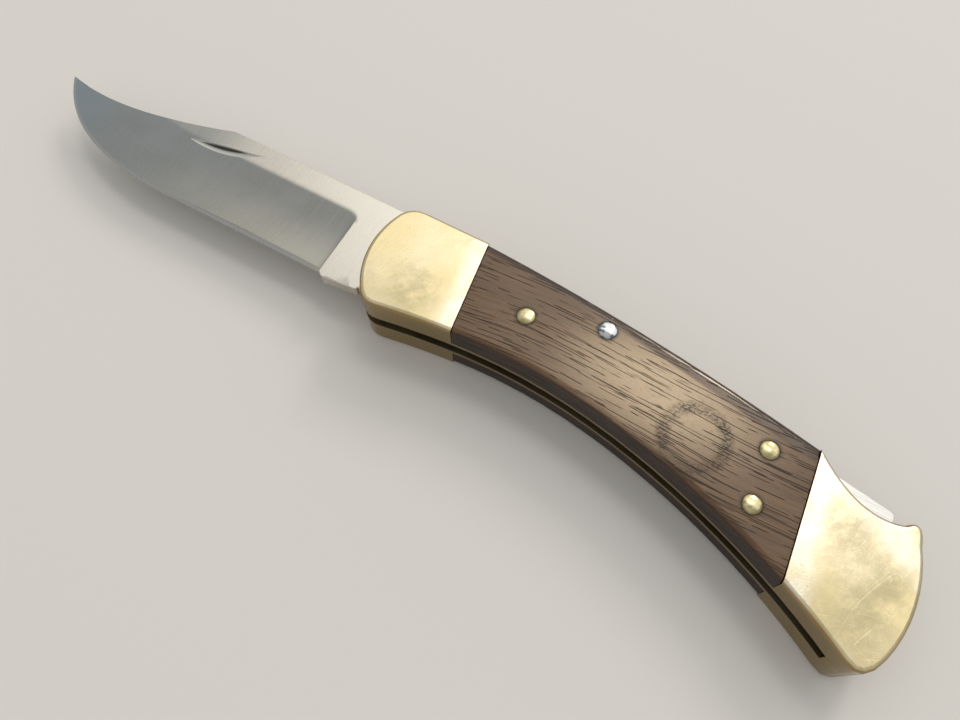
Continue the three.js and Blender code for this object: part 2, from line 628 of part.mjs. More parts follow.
// The cutter of the nail nick: a straight steep wall above, and a sloping floor below it
function nickCutter() {
  const face = BLADE_STOCK / 2;
  const cutter = (NICK_LENGTH ** 2 / 4 + NICK_DEPTH ** 2) / (2 * NICK_DEPTH);
  const cutterCentre = face + cutter - NICK_DEPTH;
  const half = Math.sqrt(cutter ** 2 - (cutterCentre - face - NICK_OVERRUN / 2) ** 2);
  const centre = at(NICK_CENTRE_X, SPINE_Y - NICK_DROP);
  const along = onCircle(1, NICK_LEAN);
  const down = onCircle(1, NICK_LEAN - 90);
  const vertices = [];
  for (const upper of [false, true]) {
    for (let i = 0; i <= LONG_STEPS; i++) {
      const s = half * (2 * i / LONG_STEPS - 1);
      const floor = cutterCentre - Math.sqrt(cutter ** 2 - s ** 2);
      const width = (face + NICK_OVERRUN - floor) * NICK_WIDTH / NICK_DEPTH;
      const wall = centre.clone().addScaledVector(along, s);
      const sill = wall.clone().addScaledVector(down, width);
      vertices.push(wall.x, wall.y, upper ? face + NICK_OVERRUN : floor);
      vertices.push(sill.x, sill.y, face + (upper ? 2 : 1) * NICK_OVERRUN);
    }
  }
  return solidFromGrid(vertices, LONG_STEPS + 1, 2);
}

function blade() {
  const block = grindBlock();
  return plate(bladePoints(), -BLADE_STOCK / 2, BLADE_STOCK / 2)
    .subtract(bore(PIVOT, PIVOT_PIN_DIAMETER))
    .subtract(block)
    .subtract(block.mirror([0, 0, 1]))
    .subtract(nickCutter());
}

function lockBar() {
  return plate(lockBarPoints(), -BLADE_STOCK / 2, BLADE_STOCK / 2)
    .subtract(bore(lockPin(), LOCK_PIN_DIAMETER));
}

function lockSpring() {
  return plate(band(springLine(), SPRING_THICKNESS / 2), -BLADE_STOCK / 2, BLADE_STOCK / 2);
}

function springHolder() {
  let solid = plate(handlePoints(), -CHANNEL_HALF, CHANNEL_HALF)
    .intersect(plate(holderRegion(), -MID, MID))
    .subtract(plate(sweptRegion(), -MID, MID))
    .subtract(plate(band(springLine(), SPRING_THICKNESS / 2 + SPRING_FIT), -MID, MID));
  for (const pin of Object.values(rearPins())) solid = solid.subtract(bore(pin, REAR_PIN_DIAMETER));
  return solid;
}

// A turned pin; an end with a dome is drawn as a shallow cap
function pinGeometry(diameter, low, high, domeLow, domeHigh) {
  const radius = diameter / 2;
  const capSteps = 3;
  const profile = [];
  for (let i = 0; i <= capSteps; i++) {
    const share = i / capSteps;
    if (domeLow) profile.push(at(radius * share, low - domeLow * (1 - share ** 2)));
  }
  if (!domeLow) profile.push(at(0, low), at(radius, low));
  for (let i = capSteps; i >= 0; i--) {
    const share = i / capSteps;
    if (domeHigh) profile.push(at(radius * share, high + domeHigh * (1 - share ** 2)));
  }
  if (!domeHigh) profile.push(at(radius, high), at(0, high));
  const geometry = new THREE.LatheGeometry(profile, PIN_FACETS);
  return geometryOf(solidOf(outward(geometry.rotateX(Math.PI / 2))));
}

const finish = {
  steel: { color: 0xb9b8b4, roughness: 0.3, metalness: 1 },
  springSteel: { color: 0x8f8d88, roughness: 0.4, metalness: 1 },
  brass: { color: 0xd9c48a, roughness: 0.28, metalness: 1 },
  wood: { color: 0x5a4636, roughness: 0.5, metalness: 0 },
};

const knife = new THREE.Group();

function add(name, geometry, kind, position = PIVOT) {
  const mesh = new THREE.Mesh(geometry, new THREE.MeshStandardMaterial(finish[kind]));
  mesh.name = name;
  mesh.position.set(position.x, position.y, MID);
  knife.add(mesh);
}

add('blade', geometryOf(blade()), 'steel');
add('lock_bar', geometryOf(lockBar()), 'steel');
add('lock_spring', geometryOf(lockSpring()), 'springSteel');
add('spring_holder', geometryOf(springHolder()), 'brass');
for (const [side, flip] of [['left', false], ['right', true]]) {
  const sided = (solid) => geometryOf(flip ? solid.mirror([0, 0, 1]) : solid);
  add(`${side}_liner`, sided(liner()), 'brass');
  add(`${side}_front_bolster`, sided(frontBolster()), 'brass');
  add(`${side}_scale`, sided(scale()), 'wood');
  add(`${side}_rear_bolster`, sided(rearBolster()), 'brass');
  for (const [place, centre] of Object.entries(rivets())) {
    const shank = flip
      ? pinGeometry(RIVET_DIAMETER, -SCALE_FACE, -CHANNEL_HALF, PIN_DOME, 0)
      : pinGeometry(RIVET_DIAMETER, CHANNEL_HALF, SCALE_FACE, 0, PIN_DOME);
    add(`${side}_${place}_rivet`, shank, 'brass', centre);
  }
}
const hidden = BLIND_END - PIN_FIT;
const lockPinShape = pinGeometry(LOCK_PIN_DIAMETER, -SCALE_FACE, SCALE_FACE, PIN_DOME, PIN_DOME);
add('blade_pivot_pin', pinGeometry(PIVOT_PIN_DIAMETER, -hidden, hidden, 0, 0), 'brass');
add('lock_bar_pin', lockPinShape, 'steel', lockPin());
for (const [place, centre] of Object.entries(rearPins())) {
  add(`rear_bolster_pin_${place}`, pinGeometry(REAR_PIN_DIAMETER, -hidden, hidden, 0, 0), 'brass', centre);
}

export default knife;
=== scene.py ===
import math

import bpy
import numpy as np
from mathutils import Matrix, Vector
from mathutils.geometry import delaunay_2d_cdt


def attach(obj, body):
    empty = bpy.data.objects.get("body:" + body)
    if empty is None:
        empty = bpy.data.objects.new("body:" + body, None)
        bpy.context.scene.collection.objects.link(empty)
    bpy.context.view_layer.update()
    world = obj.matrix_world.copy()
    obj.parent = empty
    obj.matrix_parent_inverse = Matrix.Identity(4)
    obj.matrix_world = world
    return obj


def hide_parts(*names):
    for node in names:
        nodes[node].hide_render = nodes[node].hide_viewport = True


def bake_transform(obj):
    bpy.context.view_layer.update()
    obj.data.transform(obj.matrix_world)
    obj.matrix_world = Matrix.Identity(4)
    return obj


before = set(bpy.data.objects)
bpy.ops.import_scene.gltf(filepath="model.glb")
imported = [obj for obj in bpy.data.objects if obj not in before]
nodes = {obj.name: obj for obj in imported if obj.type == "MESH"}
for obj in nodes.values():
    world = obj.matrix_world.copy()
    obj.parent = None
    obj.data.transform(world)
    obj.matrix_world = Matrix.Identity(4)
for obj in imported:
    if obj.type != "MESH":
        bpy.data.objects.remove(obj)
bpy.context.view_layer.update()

# An open lock-back hunting knife, lying on its right side. Sizes below are in millimetres, and MM turns
# them into metres. X runs to the butt, Y to the back of the knife, Z up.
MM = 0.001
# The knife's middle plane above the floor
MIDDLE = 8.25

scene = bpy.context.scene


def linear(hex_colour):
    """An sRGB hex colour as the linear RGBA that the shaders take."""
    parts = [int(hex_colour[i:i + 2], 16) / 255 for i in (1, 3, 5)]
    return (*[p / 12.92 if p <= 0.04045 else ((p + 0.055) / 1.055) ** 2.4 for p in parts], 1.0)


def put(tree, kind, feeds=(), out=0, **settings):
    """Adds a node and returns one of its outputs, or all of them where out is None. Settings are the node's
    own properties. Feeds go to its inputs, in order or by number or name: values, hex colours, or the
    outputs that they come from."""
    made = tree.nodes.new(kind)
    for name, value in settings.items():
        setattr(made, name, value)
    for socket, value in feeds.items() if isinstance(feeds, dict) else enumerate(feeds):
        if isinstance(value, bpy.types.NodeSocket):
            tree.links.new(value, made.inputs[socket])
        else:
            is_colour = isinstance(value, str) and value.startswith("#")
            made.inputs[socket].default_value = linear(value) if is_colour else value
    return made.outputs if out is None else made.outputs[out]


def bare_finish(name):
    """A new material and its empty node tree."""
    material = bpy.data.materials.new(name)
    material.use_nodes = True
    material.node_tree.nodes.clear()
    return material, material.node_tree


def shade(tree, feeds):
    """Closes a finish with its surface shader."""
    surface = put(tree, "ShaderNodeBsdfPrincipled", feeds)
    put(tree, "ShaderNodeOutputMaterial", (surface,), out=None)


# ---------------------------------------------------------------- camera, floor and light

CAMERA_PLACE = Vector((56.54716593, -65.7691393, 162.46631224)) * MM
CAMERA_RIGHT = Vector((0.86967427, 0.49325662, -0.01909364))
CAMERA_UP = Vector((-0.44588536, 0.80157188, 0.39833248))
LENS, FILM_WIDTH = 30.0, 36.0
# These four are in metres
NEAREST_SEEN, FARTHEST_SEEN = 0.005, 50.0
LAMP_DISTANCE, FLOOR_HALF = 2.5, 6.0
ROOM_BRIGHTNESS = 0.56


def photo_camera():
    """The camera that was fitted to the photograph."""
    data = bpy.data.cameras.new("photo_camera")
    data.lens, data.sensor_width, data.sensor_fit = LENS, FILM_WIDTH, "HORIZONTAL"
    data.clip_start, data.clip_end = NEAREST_SEEN, FARTHEST_SEEN
    camera = bpy.data.objects.new("photo_camera", data)
    back = CAMERA_RIGHT.cross(CAMERA_UP)
    turn = Matrix((CAMERA_RIGHT, CAMERA_UP, back)).transposed().to_4x4()
    camera.matrix_world = Matrix.Translation(CAMERA_PLACE) @ turn
    scene.collection.objects.link(camera)
    scene.camera = camera


def lamp(name, towards, size, radiance, tint="#FFFFFF"):
    """A soft box, its size in metres, that stands in a direction from the knife and faces it; radiance is
    its own brightness."""
    data = bpy.data.lights.new(name, "AREA")
    data.shape, data.size, data.size_y = "RECTANGLE", size[0], size[1]
    data.energy = radiance * math.pi * size[0] * size[1]
    data.color = linear(tint)[:3]
    box = bpy.data.objects.new(name, data)
    direction = Vector(towards).normalized()
    box.location = direction * LAMP_DISTANCE
    box.rotation_mode = "QUATERNION"
    box.rotation_quaternion = direction.to_track_quat("Z", "Y")
    box.visible_camera = False
    scene.collection.objects.link(box)


def studio():
    """A wide soft panel, a smaller brighter one above and a key from behind, in a pale room."""
    lamp("sky_panel", (0.085, 0.655, 0.76), (3.35, 2.20), 0.82)
    lamp("bright_window", (0.015, 0.42, 0.92), (0.95, 0.50), 3.4, tint="#FFF9F0")
    lamp("back_key", (0.11, 0.80, 0.60), (0.36, 0.68), 16.0, tint="#FFF6EA")
    world = bpy.data.worlds.new("studio_room")
    scene.world = world
    world.use_nodes = True
    world.node_tree.nodes.clear()
    room = put(world.node_tree, "ShaderNodeBackground", ("#FFFFFF", ROOM_BRIGHTNESS))
    put(world.node_tree, "ShaderNodeOutputWorld", (room,), out=None)
    scene.view_settings.view_transform = "Standard"


def floor_board():
    """Matt painted board: one pale even tone that takes a soft shadow."""
    material, tree = bare_finish("matt_painted_board")
    shade(tree, {"Base Color": "#DCD9D3", "Roughness": 0.8})
    mesh = bpy.data.meshes.new("floor")
    corners = [(x * FLOOR_HALF, y * FLOOR_HALF, 0) for x, y in ((-1, -1), (1, -1), (1, 1), (-1, 1))]
    mesh.from_pydata(corners, [], [(0, 1, 2, 3)])
    mesh.materials.append(material)
    board = bpy.data.objects.new("floor", mesh)
    scene.collection.objects.link(board)


# ---------------------------------------------------------------- what the finishes are made up of

MATH, VECTOR_MATH, MAP_RANGE = "ShaderNodeMath", "ShaderNodeVectorMath", "ShaderNodeMapRange"
# A range is fed with a value, the two ends that it runs between and what to give there, which is 0 and 1 if
# left out. It is passed smoothly. Where the last feed is a share itself, the two shares multiply.
EASED = {"interpolation_type": "SMOOTHSTEP"}


def pattern(tree, place, size, turn=0.0, shift=0.0, detail=2.0, rough=0.5, warp=0.0):
    """Mottling from 0 to 1 whose grains are size (long, across, deep) in millimetres, turned about Z."""
    laid = put(tree, "ShaderNodeMapping",
               {"Vector": place, "Location": [shift * MM] * 3, "Rotation": (0, 0, math.radians(turn)),
                "Scale": [s * MM for s in size]}, vector_type="TEXTURE")
    return put(tree, "ShaderNodeTexNoise",
               {"Vector": laid, "Scale": 1.0, "Detail": detail, "Roughness": rough, "Distortion": warp})


def built_up(tree, total, *layers):
    """Adds to a value each layer's own value times its weight."""
    for value, weight in layers:
        total = put(tree, MATH, (value, weight, total), operation="MULTIPLY_ADD")
    return total


def coats(tree, colour, *layers):
    """Lays coats over a colour, each by its share, its strength and its own colour."""
    for share, strength, coat in layers:
        share = put(tree, MATH, (share, strength), operation="MULTIPLY")
        colour = put(tree, "ShaderNodeMix", {0: share, 6: colour, 7: coat}, out=2, data_type="RGBA")
    return colour


def relief(tree, *layers):
    """The shading normal of bump layers, each a height from 0 to 1 and its depth in millimetres."""
    below = {}
    for height, depth in layers:
        below = {"Normal": put(tree, "ShaderNodeBump", {"Height": height, "Distance": depth * MM, **below})}
    return below["Normal"]


def turned_away(tree, low, high):
    """0 where the surface lies flat in the knife and 1 where it has turned to a side wall; low and high are
    how far up it faces, from 0 to 1, where it counts as fully turned and as flat."""
    facing = put(tree, "ShaderNodeNewGeometry", out="Normal")
    facing = put(tree, "ShaderNodeVectorTransform", (facing,), vector_type="NORMAL", convert_from="WORLD",
                 convert_to="OBJECT")
    up = put(tree, "ShaderNodeSeparateXYZ", (facing,), out="Z")
    flat = put(tree, MATH, (up,), operation="ABSOLUTE")
    return put(tree, MAP_RANGE, (flat, high, low), **EASED)


def away_in_plan(tree, place, point, weights=(1, 1, 0)):
    """How far a place is from a point in plan, with weights for the distances along X and Y."""
    reach = put(tree, VECTOR_MATH, (place, (point[0] * MM, point[1] * MM, 0)), operation="SUBTRACT")
    reach = put(tree, VECTOR_MATH, (reach, weights), operation="MULTIPLY")
    return put(tree, VECTOR_MATH, (reach,), out="Value", operation="LENGTH")


def beside_line(tree, place, start, end, width):
    """How far a place is along a line in plan, from 0 to 1, and how many widths it is to the line's side."""
    run = Vector(end) - Vector(start)
    laid = put(tree, "ShaderNodeMapping",
               {"Vector": place, "Location": (start[0] * MM, start[1] * MM, 0),
                "Rotation": (0, 0, math.atan2(run.y, run.x)), "Scale": (run.length * MM, width * MM, 1)},
               vector_type="TEXTURE")
    along, side, _ = put(tree, "ShaderNodeSeparateXYZ", (laid,), out=None)
    return along, side


# ---------------------------------------------------------------- wear of the metal

# How far the liners' inner faces are from the middle plane, and a little more
CHANNEL_WALL = 1.7
# Direction, shift and length of each set of hairlines
HAIRLINES = ((24, 3, 14), (-41, 11, 9), (63, 23, 6))
# Direction and shift of each set of rub marks
RUB_MARKS = ((15, 31), (-60, 52), (78, 73), (-22, 94))
# Each long scratch's two ends in plan, and how far it bows
LONG_SCRATCHES = (((102.3, -22.7), (107.7, -11.1), 0.45), ((104.8, -27.3), (106.9, -22.8), 0.15),
                  ((107.6, -18.9), (109.2, -19.1), -0.25))
LONG_SCRATCH_WIDTH = 0.16
# Painted highlight bands, along the joints with the wood and along the thumb scoop: each band's two ends in
# plan, and its reach
PAINTED_HIGHLIGHT_BANDS = (((11.4, 13.0), (14.2, -8.0), 5.0), ((88.2, 4.0), (91.0, -20.5), 6.5),
                ((89.0, 3.0), (108.0, -7.2), 5.0))
# Each smudge's middle in plan, how far it reaches and how strong it is
SMUDGES = (((2.4, -4.2), 9.0, 0.50), ((102.0, -13.0), 12.0, 0.42), ((107.3, -14.5), 5.0, 0.45),
           ((104.5, -22.5), 8.0, 0.45), ((96.5, -7.5), 7.5, 0.50))


def in_channel(tree, place):
    """1 on the liners' inner faces, which line the blade's channel."""
    height = put(tree, "ShaderNodeSeparateXYZ", (place,), out="Z")
    inside = put(tree, MATH, (height, MIDDLE * MM, CHANNEL_WALL * MM), operation="COMPARE")
    return put(tree, MATH, (inside, turned_away(tree, 0.95, 0.5)), operation="MULTIPLY")


def scratches(tree, place):
    """Hairline scratches in three directions; the real ones are finer than 0.05 mm, drawn at about 0.15."""
    lines = []
    for turn, shift, reach in HAIRLINES:
        hair = pattern(tree, place, (reach, 0.36, 9), turn, shift, detail=1.0, warp=1.2)
        lines.append((put(tree, MAP_RANGE, (hair, 0.745, 0.79), **EASED), 0.5))
    return built_up(tree, 0.0, *lines)


def swirls(tree, place):
    """The haze of very fine rub marks that a pocket leaves, running every way; drawn coarser than real."""
    marks = []
    for turn, shift in RUB_MARKS:
        mark = pattern(tree, place, (4.5, 0.30, 4), turn, shift, rough=0.6, warp=0.8)
        marks.append((put(tree, MAP_RANGE, (mark, 0.60, 0.74), **EASED), 1))
    return built_up(tree, 0.0, *marks)


def smudge(tree, place, centre, reach):
    """A dull patch of tarnish round a point in plan, its edge broken up."""
    away = away_in_plan(tree, place, centre)
    near = put(tree, MAP_RANGE, (away, reach * MM, 0.15 * reach * MM), **EASED)
    broken = pattern(tree, place, (4, 3, 4), 40, 61, detail=6, rough=0.75)
    return put(tree, MAP_RANGE, (broken, 0.30, 0.64, 0, near), **EASED)


def scored(tree, place, start, end, bow):
    """One long scratch between two points in plan, bent sideways by bow millimetres in its middle."""
    along, side = beside_line(tree, place, start, end, LONG_SCRATCH_WIDTH)
    left = put(tree, MATH, (1.0, along), operation="SUBTRACT")
    bend = put(tree, MATH, (along, left), operation="MULTIPLY")
    side = built_up(tree, side, (bend, -4 * bow / LONG_SCRATCH_WIDTH))
    side = put(tree, MATH, (side,), operation="ABSOLUTE")
    line = put(tree, MAP_RANGE, (side, 1.0, 0.2), **EASED)
    for to_end in (along, left):
        line = put(tree, MAP_RANGE, (to_end, 0.0, 0.15, 0, line), **EASED)
    return line


def painted_highlight_band(tree, place, start, end, reach):
    """A painted highlight: a band along a line in plan where the brass is painted paler, as a bright
    reflection would show.
    """
    _, side = beside_line(tree, place, start, end, reach)
    side = put(tree, MATH, (side,), operation="ABSOLUTE")
    near = put(tree, MAP_RANGE, (side, 1.0, 0.3), **EASED)
    broken = pattern(tree, place, (6, 4, 6), 70, 83, detail=4, rough=0.6)
    broken = put(tree, MAP_RANGE, (broken, 0.30, 0.60, 0.3, 1.0), **EASED)
    return put(tree, MATH, (near, broken), operation="MULTIPLY")


# ---------------------------------------------------------------- metals

def buffed_brass():
    """Yellow brass, ground flush and buffed on a wheel, then carried for years: a warm mirror gone soft,
    with hairline scratches, olive smudges of tarnish, painted shade on its rims and walls and painted
    highlights."""
    material, tree = bare_finish("buffed_brass")
    place = put(tree, "ShaderNodeTexCoord", out="Object")
    # Clouds and stains of one to two centimetres, specks of half a millimetre and waves that the wheel has
    # left. Its fine lines are about 0.05 mm wide, too fine to show, and are drawn at 0.28
    cloud = pattern(tree, place, (17, 13, 13), 30, 5, detail=3)
    stain = pattern(tree, place, (12, 10, 12), -20, 47, detail=4, rough=0.6)
    stain = put(tree, MAP_RANGE, (stain, 0.50, 0.70), **EASED)
    fine = pattern(tree, place, (3.2, 0.28, 3), 66, 2, detail=3, rough=0.7)
    specks = pattern(tree, place, (0.7, 0.5, 0.7), 0, 9)
    waves = pattern(tree, place, (16, 12, 16), 15, 71, detail=1)
    long_scratches = [(scored(tree, place, *line), 1) for line in LONG_SCRATCHES]
    hair = built_up(tree, scratches(tree, place), *long_scratches)
    haze = swirls(tree, place)
    channel = in_channel(tree, place)
    colour = coats(
        tree, "#DECC9C",
        (put(tree, MAP_RANGE, (cloud, 0.35, 0.65), **EASED), 1, "#EADAB4"),
        (stain, 0.35, "#B5AC88"),
        # Painted highlight: pale bands along the joints and the thumb scoop
        *[(painted_highlight_band(tree, place, *band), 0.80, "#FAF1DA") for band in PAINTED_HIGHLIGHT_BANDS],
        *[(smudge(tree, place, centre, reach), strength, "#9C9373") for centre, reach, strength in SMUDGES],
        (haze, 0.14, "#F6EED6"),
        (put(tree, MAP_RANGE, (specks, 0.66, 0.74), **EASED), 0.22, "#8C7443"),
        (hair, 0.20, "#F4EACB"),
        # Painted shade: rims go brown and side walls a darker olive brown, by how far they turn from facing
        # up
        (turned_away(tree, 0.60, 0.985), 0.80, "#85612A"),
        (turned_away(tree, 0.08, 0.62), 0.80, "#9A865A"),
        # Painted shade on the liners' inner faces, in the blade's channel
        (channel, 0.85, "#33260F"))
    dull = built_up(
        tree, put(tree, MAP_RANGE, (cloud, 0.3, 0.7, 0.15, 0.25), **EASED),
        (put(tree, MAP_RANGE, (fine, 0.3, 0.7, -0.03, 0.05), **EASED), 1),
        (stain, 0.10), (hair, 0.10), (channel, 0.3), (haze, 0.04))
    bumps = relief(tree, (waves, 0.10), (fine, 0.003), (hair, -0.005), (haze, -0.002))
    shade(tree, {"Base Color": colour, "Metallic": 1.0, "Roughness": dull, "Normal": bumps})
    return material


def satin_blade_steel():
    """Stainless steel, its flats ground and brushed to a bright satin and its hollow left by the wheel
    in a greyer, closer grain; the cutting bevel is a bright fresh line."""
    material, tree = bare_finish("satin_blade_steel")
    place = put(tree, "ShaderNodeTexCoord", out="Object")
    along, across, height = put(tree, "ShaderNodeSeparateXYZ", (place,), out=None)
    hollow, bevel, nick = [put(tree, "ShaderNodeAttribute", out="Fac", attribute_name=zone)
                           for zone in ("hollow", "bevel", "nick")]
    # Marks of a fine belt across the blade; the real ones are about 0.03 mm apart, drawn at about 0.28
    lines = pattern(tree, place, (0.28, 9, 9), -4, 8, detail=4, rough=0.75)
    cloud = pattern(tree, place, (14, 9, 14), 20, 3, detail=3)
    to_edge = put(tree, MAP_RANGE, (along, -86 * MM, -28 * MM), **EASED)
    to_edge = put(tree, MAP_RANGE, (across, 5 * MM, -5.5 * MM, 0, to_edge), **EASED)
    flat = coats(
        tree, "#D9D3C6",
        (put(tree, MAP_RANGE, (lines, 0.35, 0.65), **EASED), 1, "#E0DACC"),
        # Painted shade: the flat goes darker towards the tip
        (put(tree, MAP_RANGE, (along, -50 * MM, -67 * MM), **EASED), 0.80, "#A6A9A6"))
    ground = coats(
        tree, "#9EA19F",
        (put(tree, MAP_RANGE, (cloud, 0.35, 0.65), **EASED), 1, "#A3A6A5"),
        # The hollow's tone by place: a little warmer towards the rear; paler towards the edge at the rear and
        # bluish towards the tip, both painted reflection
        (put(tree, MAP_RANGE, (along, -80 * MM, -25 * MM), **EASED), 0.5, "#A29F96"),
        (to_edge, 0.72, "#C9C5B6"),
        (put(tree, MAP_RANGE, (along, -84 * MM, -103 * MM), **EASED), 0.6, "#97A7B0"),
        (put(tree, MAP_RANGE, (lines, 0.45, 0.75), **EASED), 0.10, "#BDBFBC"))
    colour = coats(
        tree, flat,
        (hollow, 1, ground),
        (bevel, 1, "#B0B1AE"),
        (nick, 1, "#E4E3DD"),
        # Painted shade: the deep side of the nick under its wall goes dark
        (put(tree, MAP_RANGE, (height, 9.30 * MM, 9.02 * MM, 0, nick), **EASED), 0.80, "#555856"))
    dull = built_up(
        tree, put(tree, MAP_RANGE, (cloud, 0.3, 0.7, 0.265, 0.30), **EASED),
        (put(tree, MAP_RANGE, (lines, 0.3, 0.7, -0.03, 0.04), **EASED), 1))
    bumps = relief(tree, (lines, 0.0010), (scratches(tree, place), -0.002))
    shade(tree, {"Base Color": colour, "Metallic": 1.0, "Roughness": dull, "Normal": bumps})
    return material


def brushed_bar_steel():
    """Carbon steel bar, its back brushed lengthwise with the handle: bright, with fine long lines."""
    material, tree = bare_finish("brushed_bar_steel")
    place = put(tree, "ShaderNodeTexCoord", out="Object")
    # The real brush lines are about 0.05 mm wide, drawn at 0.3
    lines = pattern(tree, place, (16, 0.3, 0.3), 0, 4, detail=3, rough=0.65)
    cloud = pattern(tree, place, (11, 8, 8), 0, 13, detail=3)
    colour = coats(
        tree, "#BFBCB6",
        (put(tree, MAP_RANGE, (lines, 0.35, 0.65), **EASED), 1, "#D8D5CF"),
        (put(tree, MAP_RANGE, (cloud, 0.5, 0.75), **EASED), 0.4, "#A29C92"))
    dull = put(tree, MAP_RANGE, (lines, 0.3, 0.7, 0.24, 0.36), **EASED)
    bumps = relief(tree, (lines, 0.005))
    shade(tree, {"Base Color": colour, "Metallic": 1.0, "Roughness": dull, "Normal": bumps})
    return material


def blued_spring_steel():
    """Hardened and blued spring steel, left as it came from the oven: dark, slightly blue, patchy."""
    material, tree = bare_finish("blued_spring_steel")
    place = put(tree, "ShaderNodeTexCoord", out="Object")
    cloud = pattern(tree, place, (6, 3, 3), 0, 17, detail=4)
    # Lines from the rolls; the real ones are about 0.1 mm wide, drawn at 0.3
    lines = pattern(tree, place, (5, 0.3, 0.3), 0, 1)
    colour = coats(
        tree, "#4A4744",
        (put(tree, MAP_RANGE, (cloud, 0.35, 0.65), **EASED), 1, "#5B6069"))
    dull = put(tree, MAP_RANGE, (cloud, 0.3, 0.7, 0.34, 0.48), **EASED)
    bumps = relief(tree, (lines, 0.006))
    shade(tree, {"Base Color": colour, "Metallic": 1.0, "Roughness": dull, "Normal": bumps})
    return material


def peened_pin_steel():
    """Stainless pin with a spun and buffed head: nearly a mirror, with a few turning marks and nicks."""
    material, tree = bare_finish("peened_pin_steel")
    place = put(tree, "ShaderNodeTexCoord", out="Object")
    # Marks of the spinning tool and small nicks, about 1 mm long
    dents = pattern(tree, place, (1.1, 0.8, 1.1), 20, 6)
    colour = coats(
        tree, "#D6D6D4",
        (put(tree, MAP_RANGE, (dents, 0.4, 0.7), **EASED), 1, "#A9AEB2"),
        (put(tree, MAP_RANGE, (dents, 0.52, 0.60), **EASED), 0.75, "#56656A"),
        # Painted shade: the dome's edge goes near black
        (turned_away(tree, 0.82, 0.99), 1, "#23282C"))
    dull = put(tree, MAP_RANGE, (dents, 0.3, 0.7, 0.12, 0.22), **EASED)
    bumps = relief(tree, (dents, 0.010))
    shade(tree, {"Base Color": colour, "Metallic": 1.0, "Roughness": dull, "Normal": bumps})
    return material


def spun_rivet_brass():
    """Brass rivets whose heads were spun to a low dome and buffed: bright crowns, with painted shade in brown
    round the dome's edge."""
    material, tree = bare_finish("spun_rivet_brass")
    place = put(tree, "ShaderNodeTexCoord", out="Object")
    # Shallow marks of the spinning tool, about 1 mm long
    dents = pattern(tree, place, (1.2, 0.9, 1.2), 35, 12)
    colour = coats(
        tree, "#B8AB78",
        (put(tree, MAP_RANGE, (dents, 0.35, 0.65), **EASED), 1, "#D4C8A0"),
        # Painted shade: the dome's edge goes dark brown
        (turned_away(tree, 0.86, 0.985), 1, "#523D18"))
    dull = put(tree, MAP_RANGE, (dents, 0.3, 0.7, 0.16, 0.28), **EASED)
    bumps = relief(tree, (dents, 0.012))
    shade(tree, {"Base Color": colour, "Metallic": 1.0, "Roughness": dull, "Normal": bumps})
    return material


# ---------------------------------------------------------------- the wood

# Pores are vessels cut along their length: about 0.15 mm wide and 2 to 12 mm long. For each set of rows:
# millimetres from row to row, the usual length, half the width, and a shift of the pattern
PORE_ROWS = ((0.83, 14.0, 0.075, 5), (1.13, 20.0, 0.09, 29), (1.57, 10.0, 0.11, 61))
# How steeply the rows climb with depth, and how far in millimetres they wander sideways
ROW_CLIMB, ROW_WANDER = 0.8, 1.6
# These keep the rows' numbers, and with them their dashes, apart from set to set and from row to row
SET_SPREAD, ROW_SPREAD = 17.0, 7.31
RING_CENTRE = Vector((66.4, -6.0, 16.1)) * MM
# The handle's back: level, and then falling in a slight curve
BACK_HEIGHT, BACK_FALL_START, BACK_SLOPE, BACK_CURVE = 12.8, 11.0, 0.045, 0.000929
# The middle of the painted sheen, where the wood is painted paler
SHEEN_CENTRE = (57, 0)
PIN_PLACES = ((26.1, 1.25), (42.1, 6.402), (79.75, -1.4), (80.75, -12.7))


def pore_rows(tree, place, spacing, length, half, shift, crowd):
    """Rows of vessels along the grain, each row moved a little by chance and broken into dashes."""
    along, across, deep = put(tree, "ShaderNodeSeparateXYZ", (place,), out=None)
    wave = pattern(tree, place, (24, 6, 6), 0, shift, detail=1)
    level = built_up(tree, across, (deep, ROW_CLIMB), (wave, ROW_WANDER * MM))
    level = put(tree, MATH, (level, 1 / (spacing * MM)), operation="MULTIPLY")
    row = put(tree, MATH, (level,), operation="FLOOR")
    inside = put(tree, MATH, (level, row), operation="SUBTRACT")
    number = put(tree, MATH, (row, SET_SPREAD * shift), operation="ADD")
    chance = put(tree, "ShaderNodeTexWhiteNoise", {"W": number}, out="Value", noise_dimensions="1D")
    # A row's middle lies anywhere from 0.2 to 0.8 of the way to the next row
    middle = built_up(tree, 0.2, (chance, 0.6))
    off = put(tree, MATH, (inside, middle), operation="SUBTRACT")
    off = put(tree, MATH, (off,), operation="ABSOLUTE")
    vessel = put(tree, MAP_RANGE, (off, half / spacing, 0.4 * half / spacing), **EASED)
    run = built_up(tree, 0.0, (along, 1 / (length * MM)), (number, ROW_SPREAD))
    dash = put(tree, "ShaderNodeTexNoise", {"W": run, "Scale": 1.0, "Detail": 2.0, "Roughness": 0.45},
               noise_dimensions="1D")
    dash = put(tree, MATH, (dash, crowd), operation="ADD")
    return put(tree, MAP_RANGE, (dash, 0.52, 0.58, 0, vessel), **EASED)


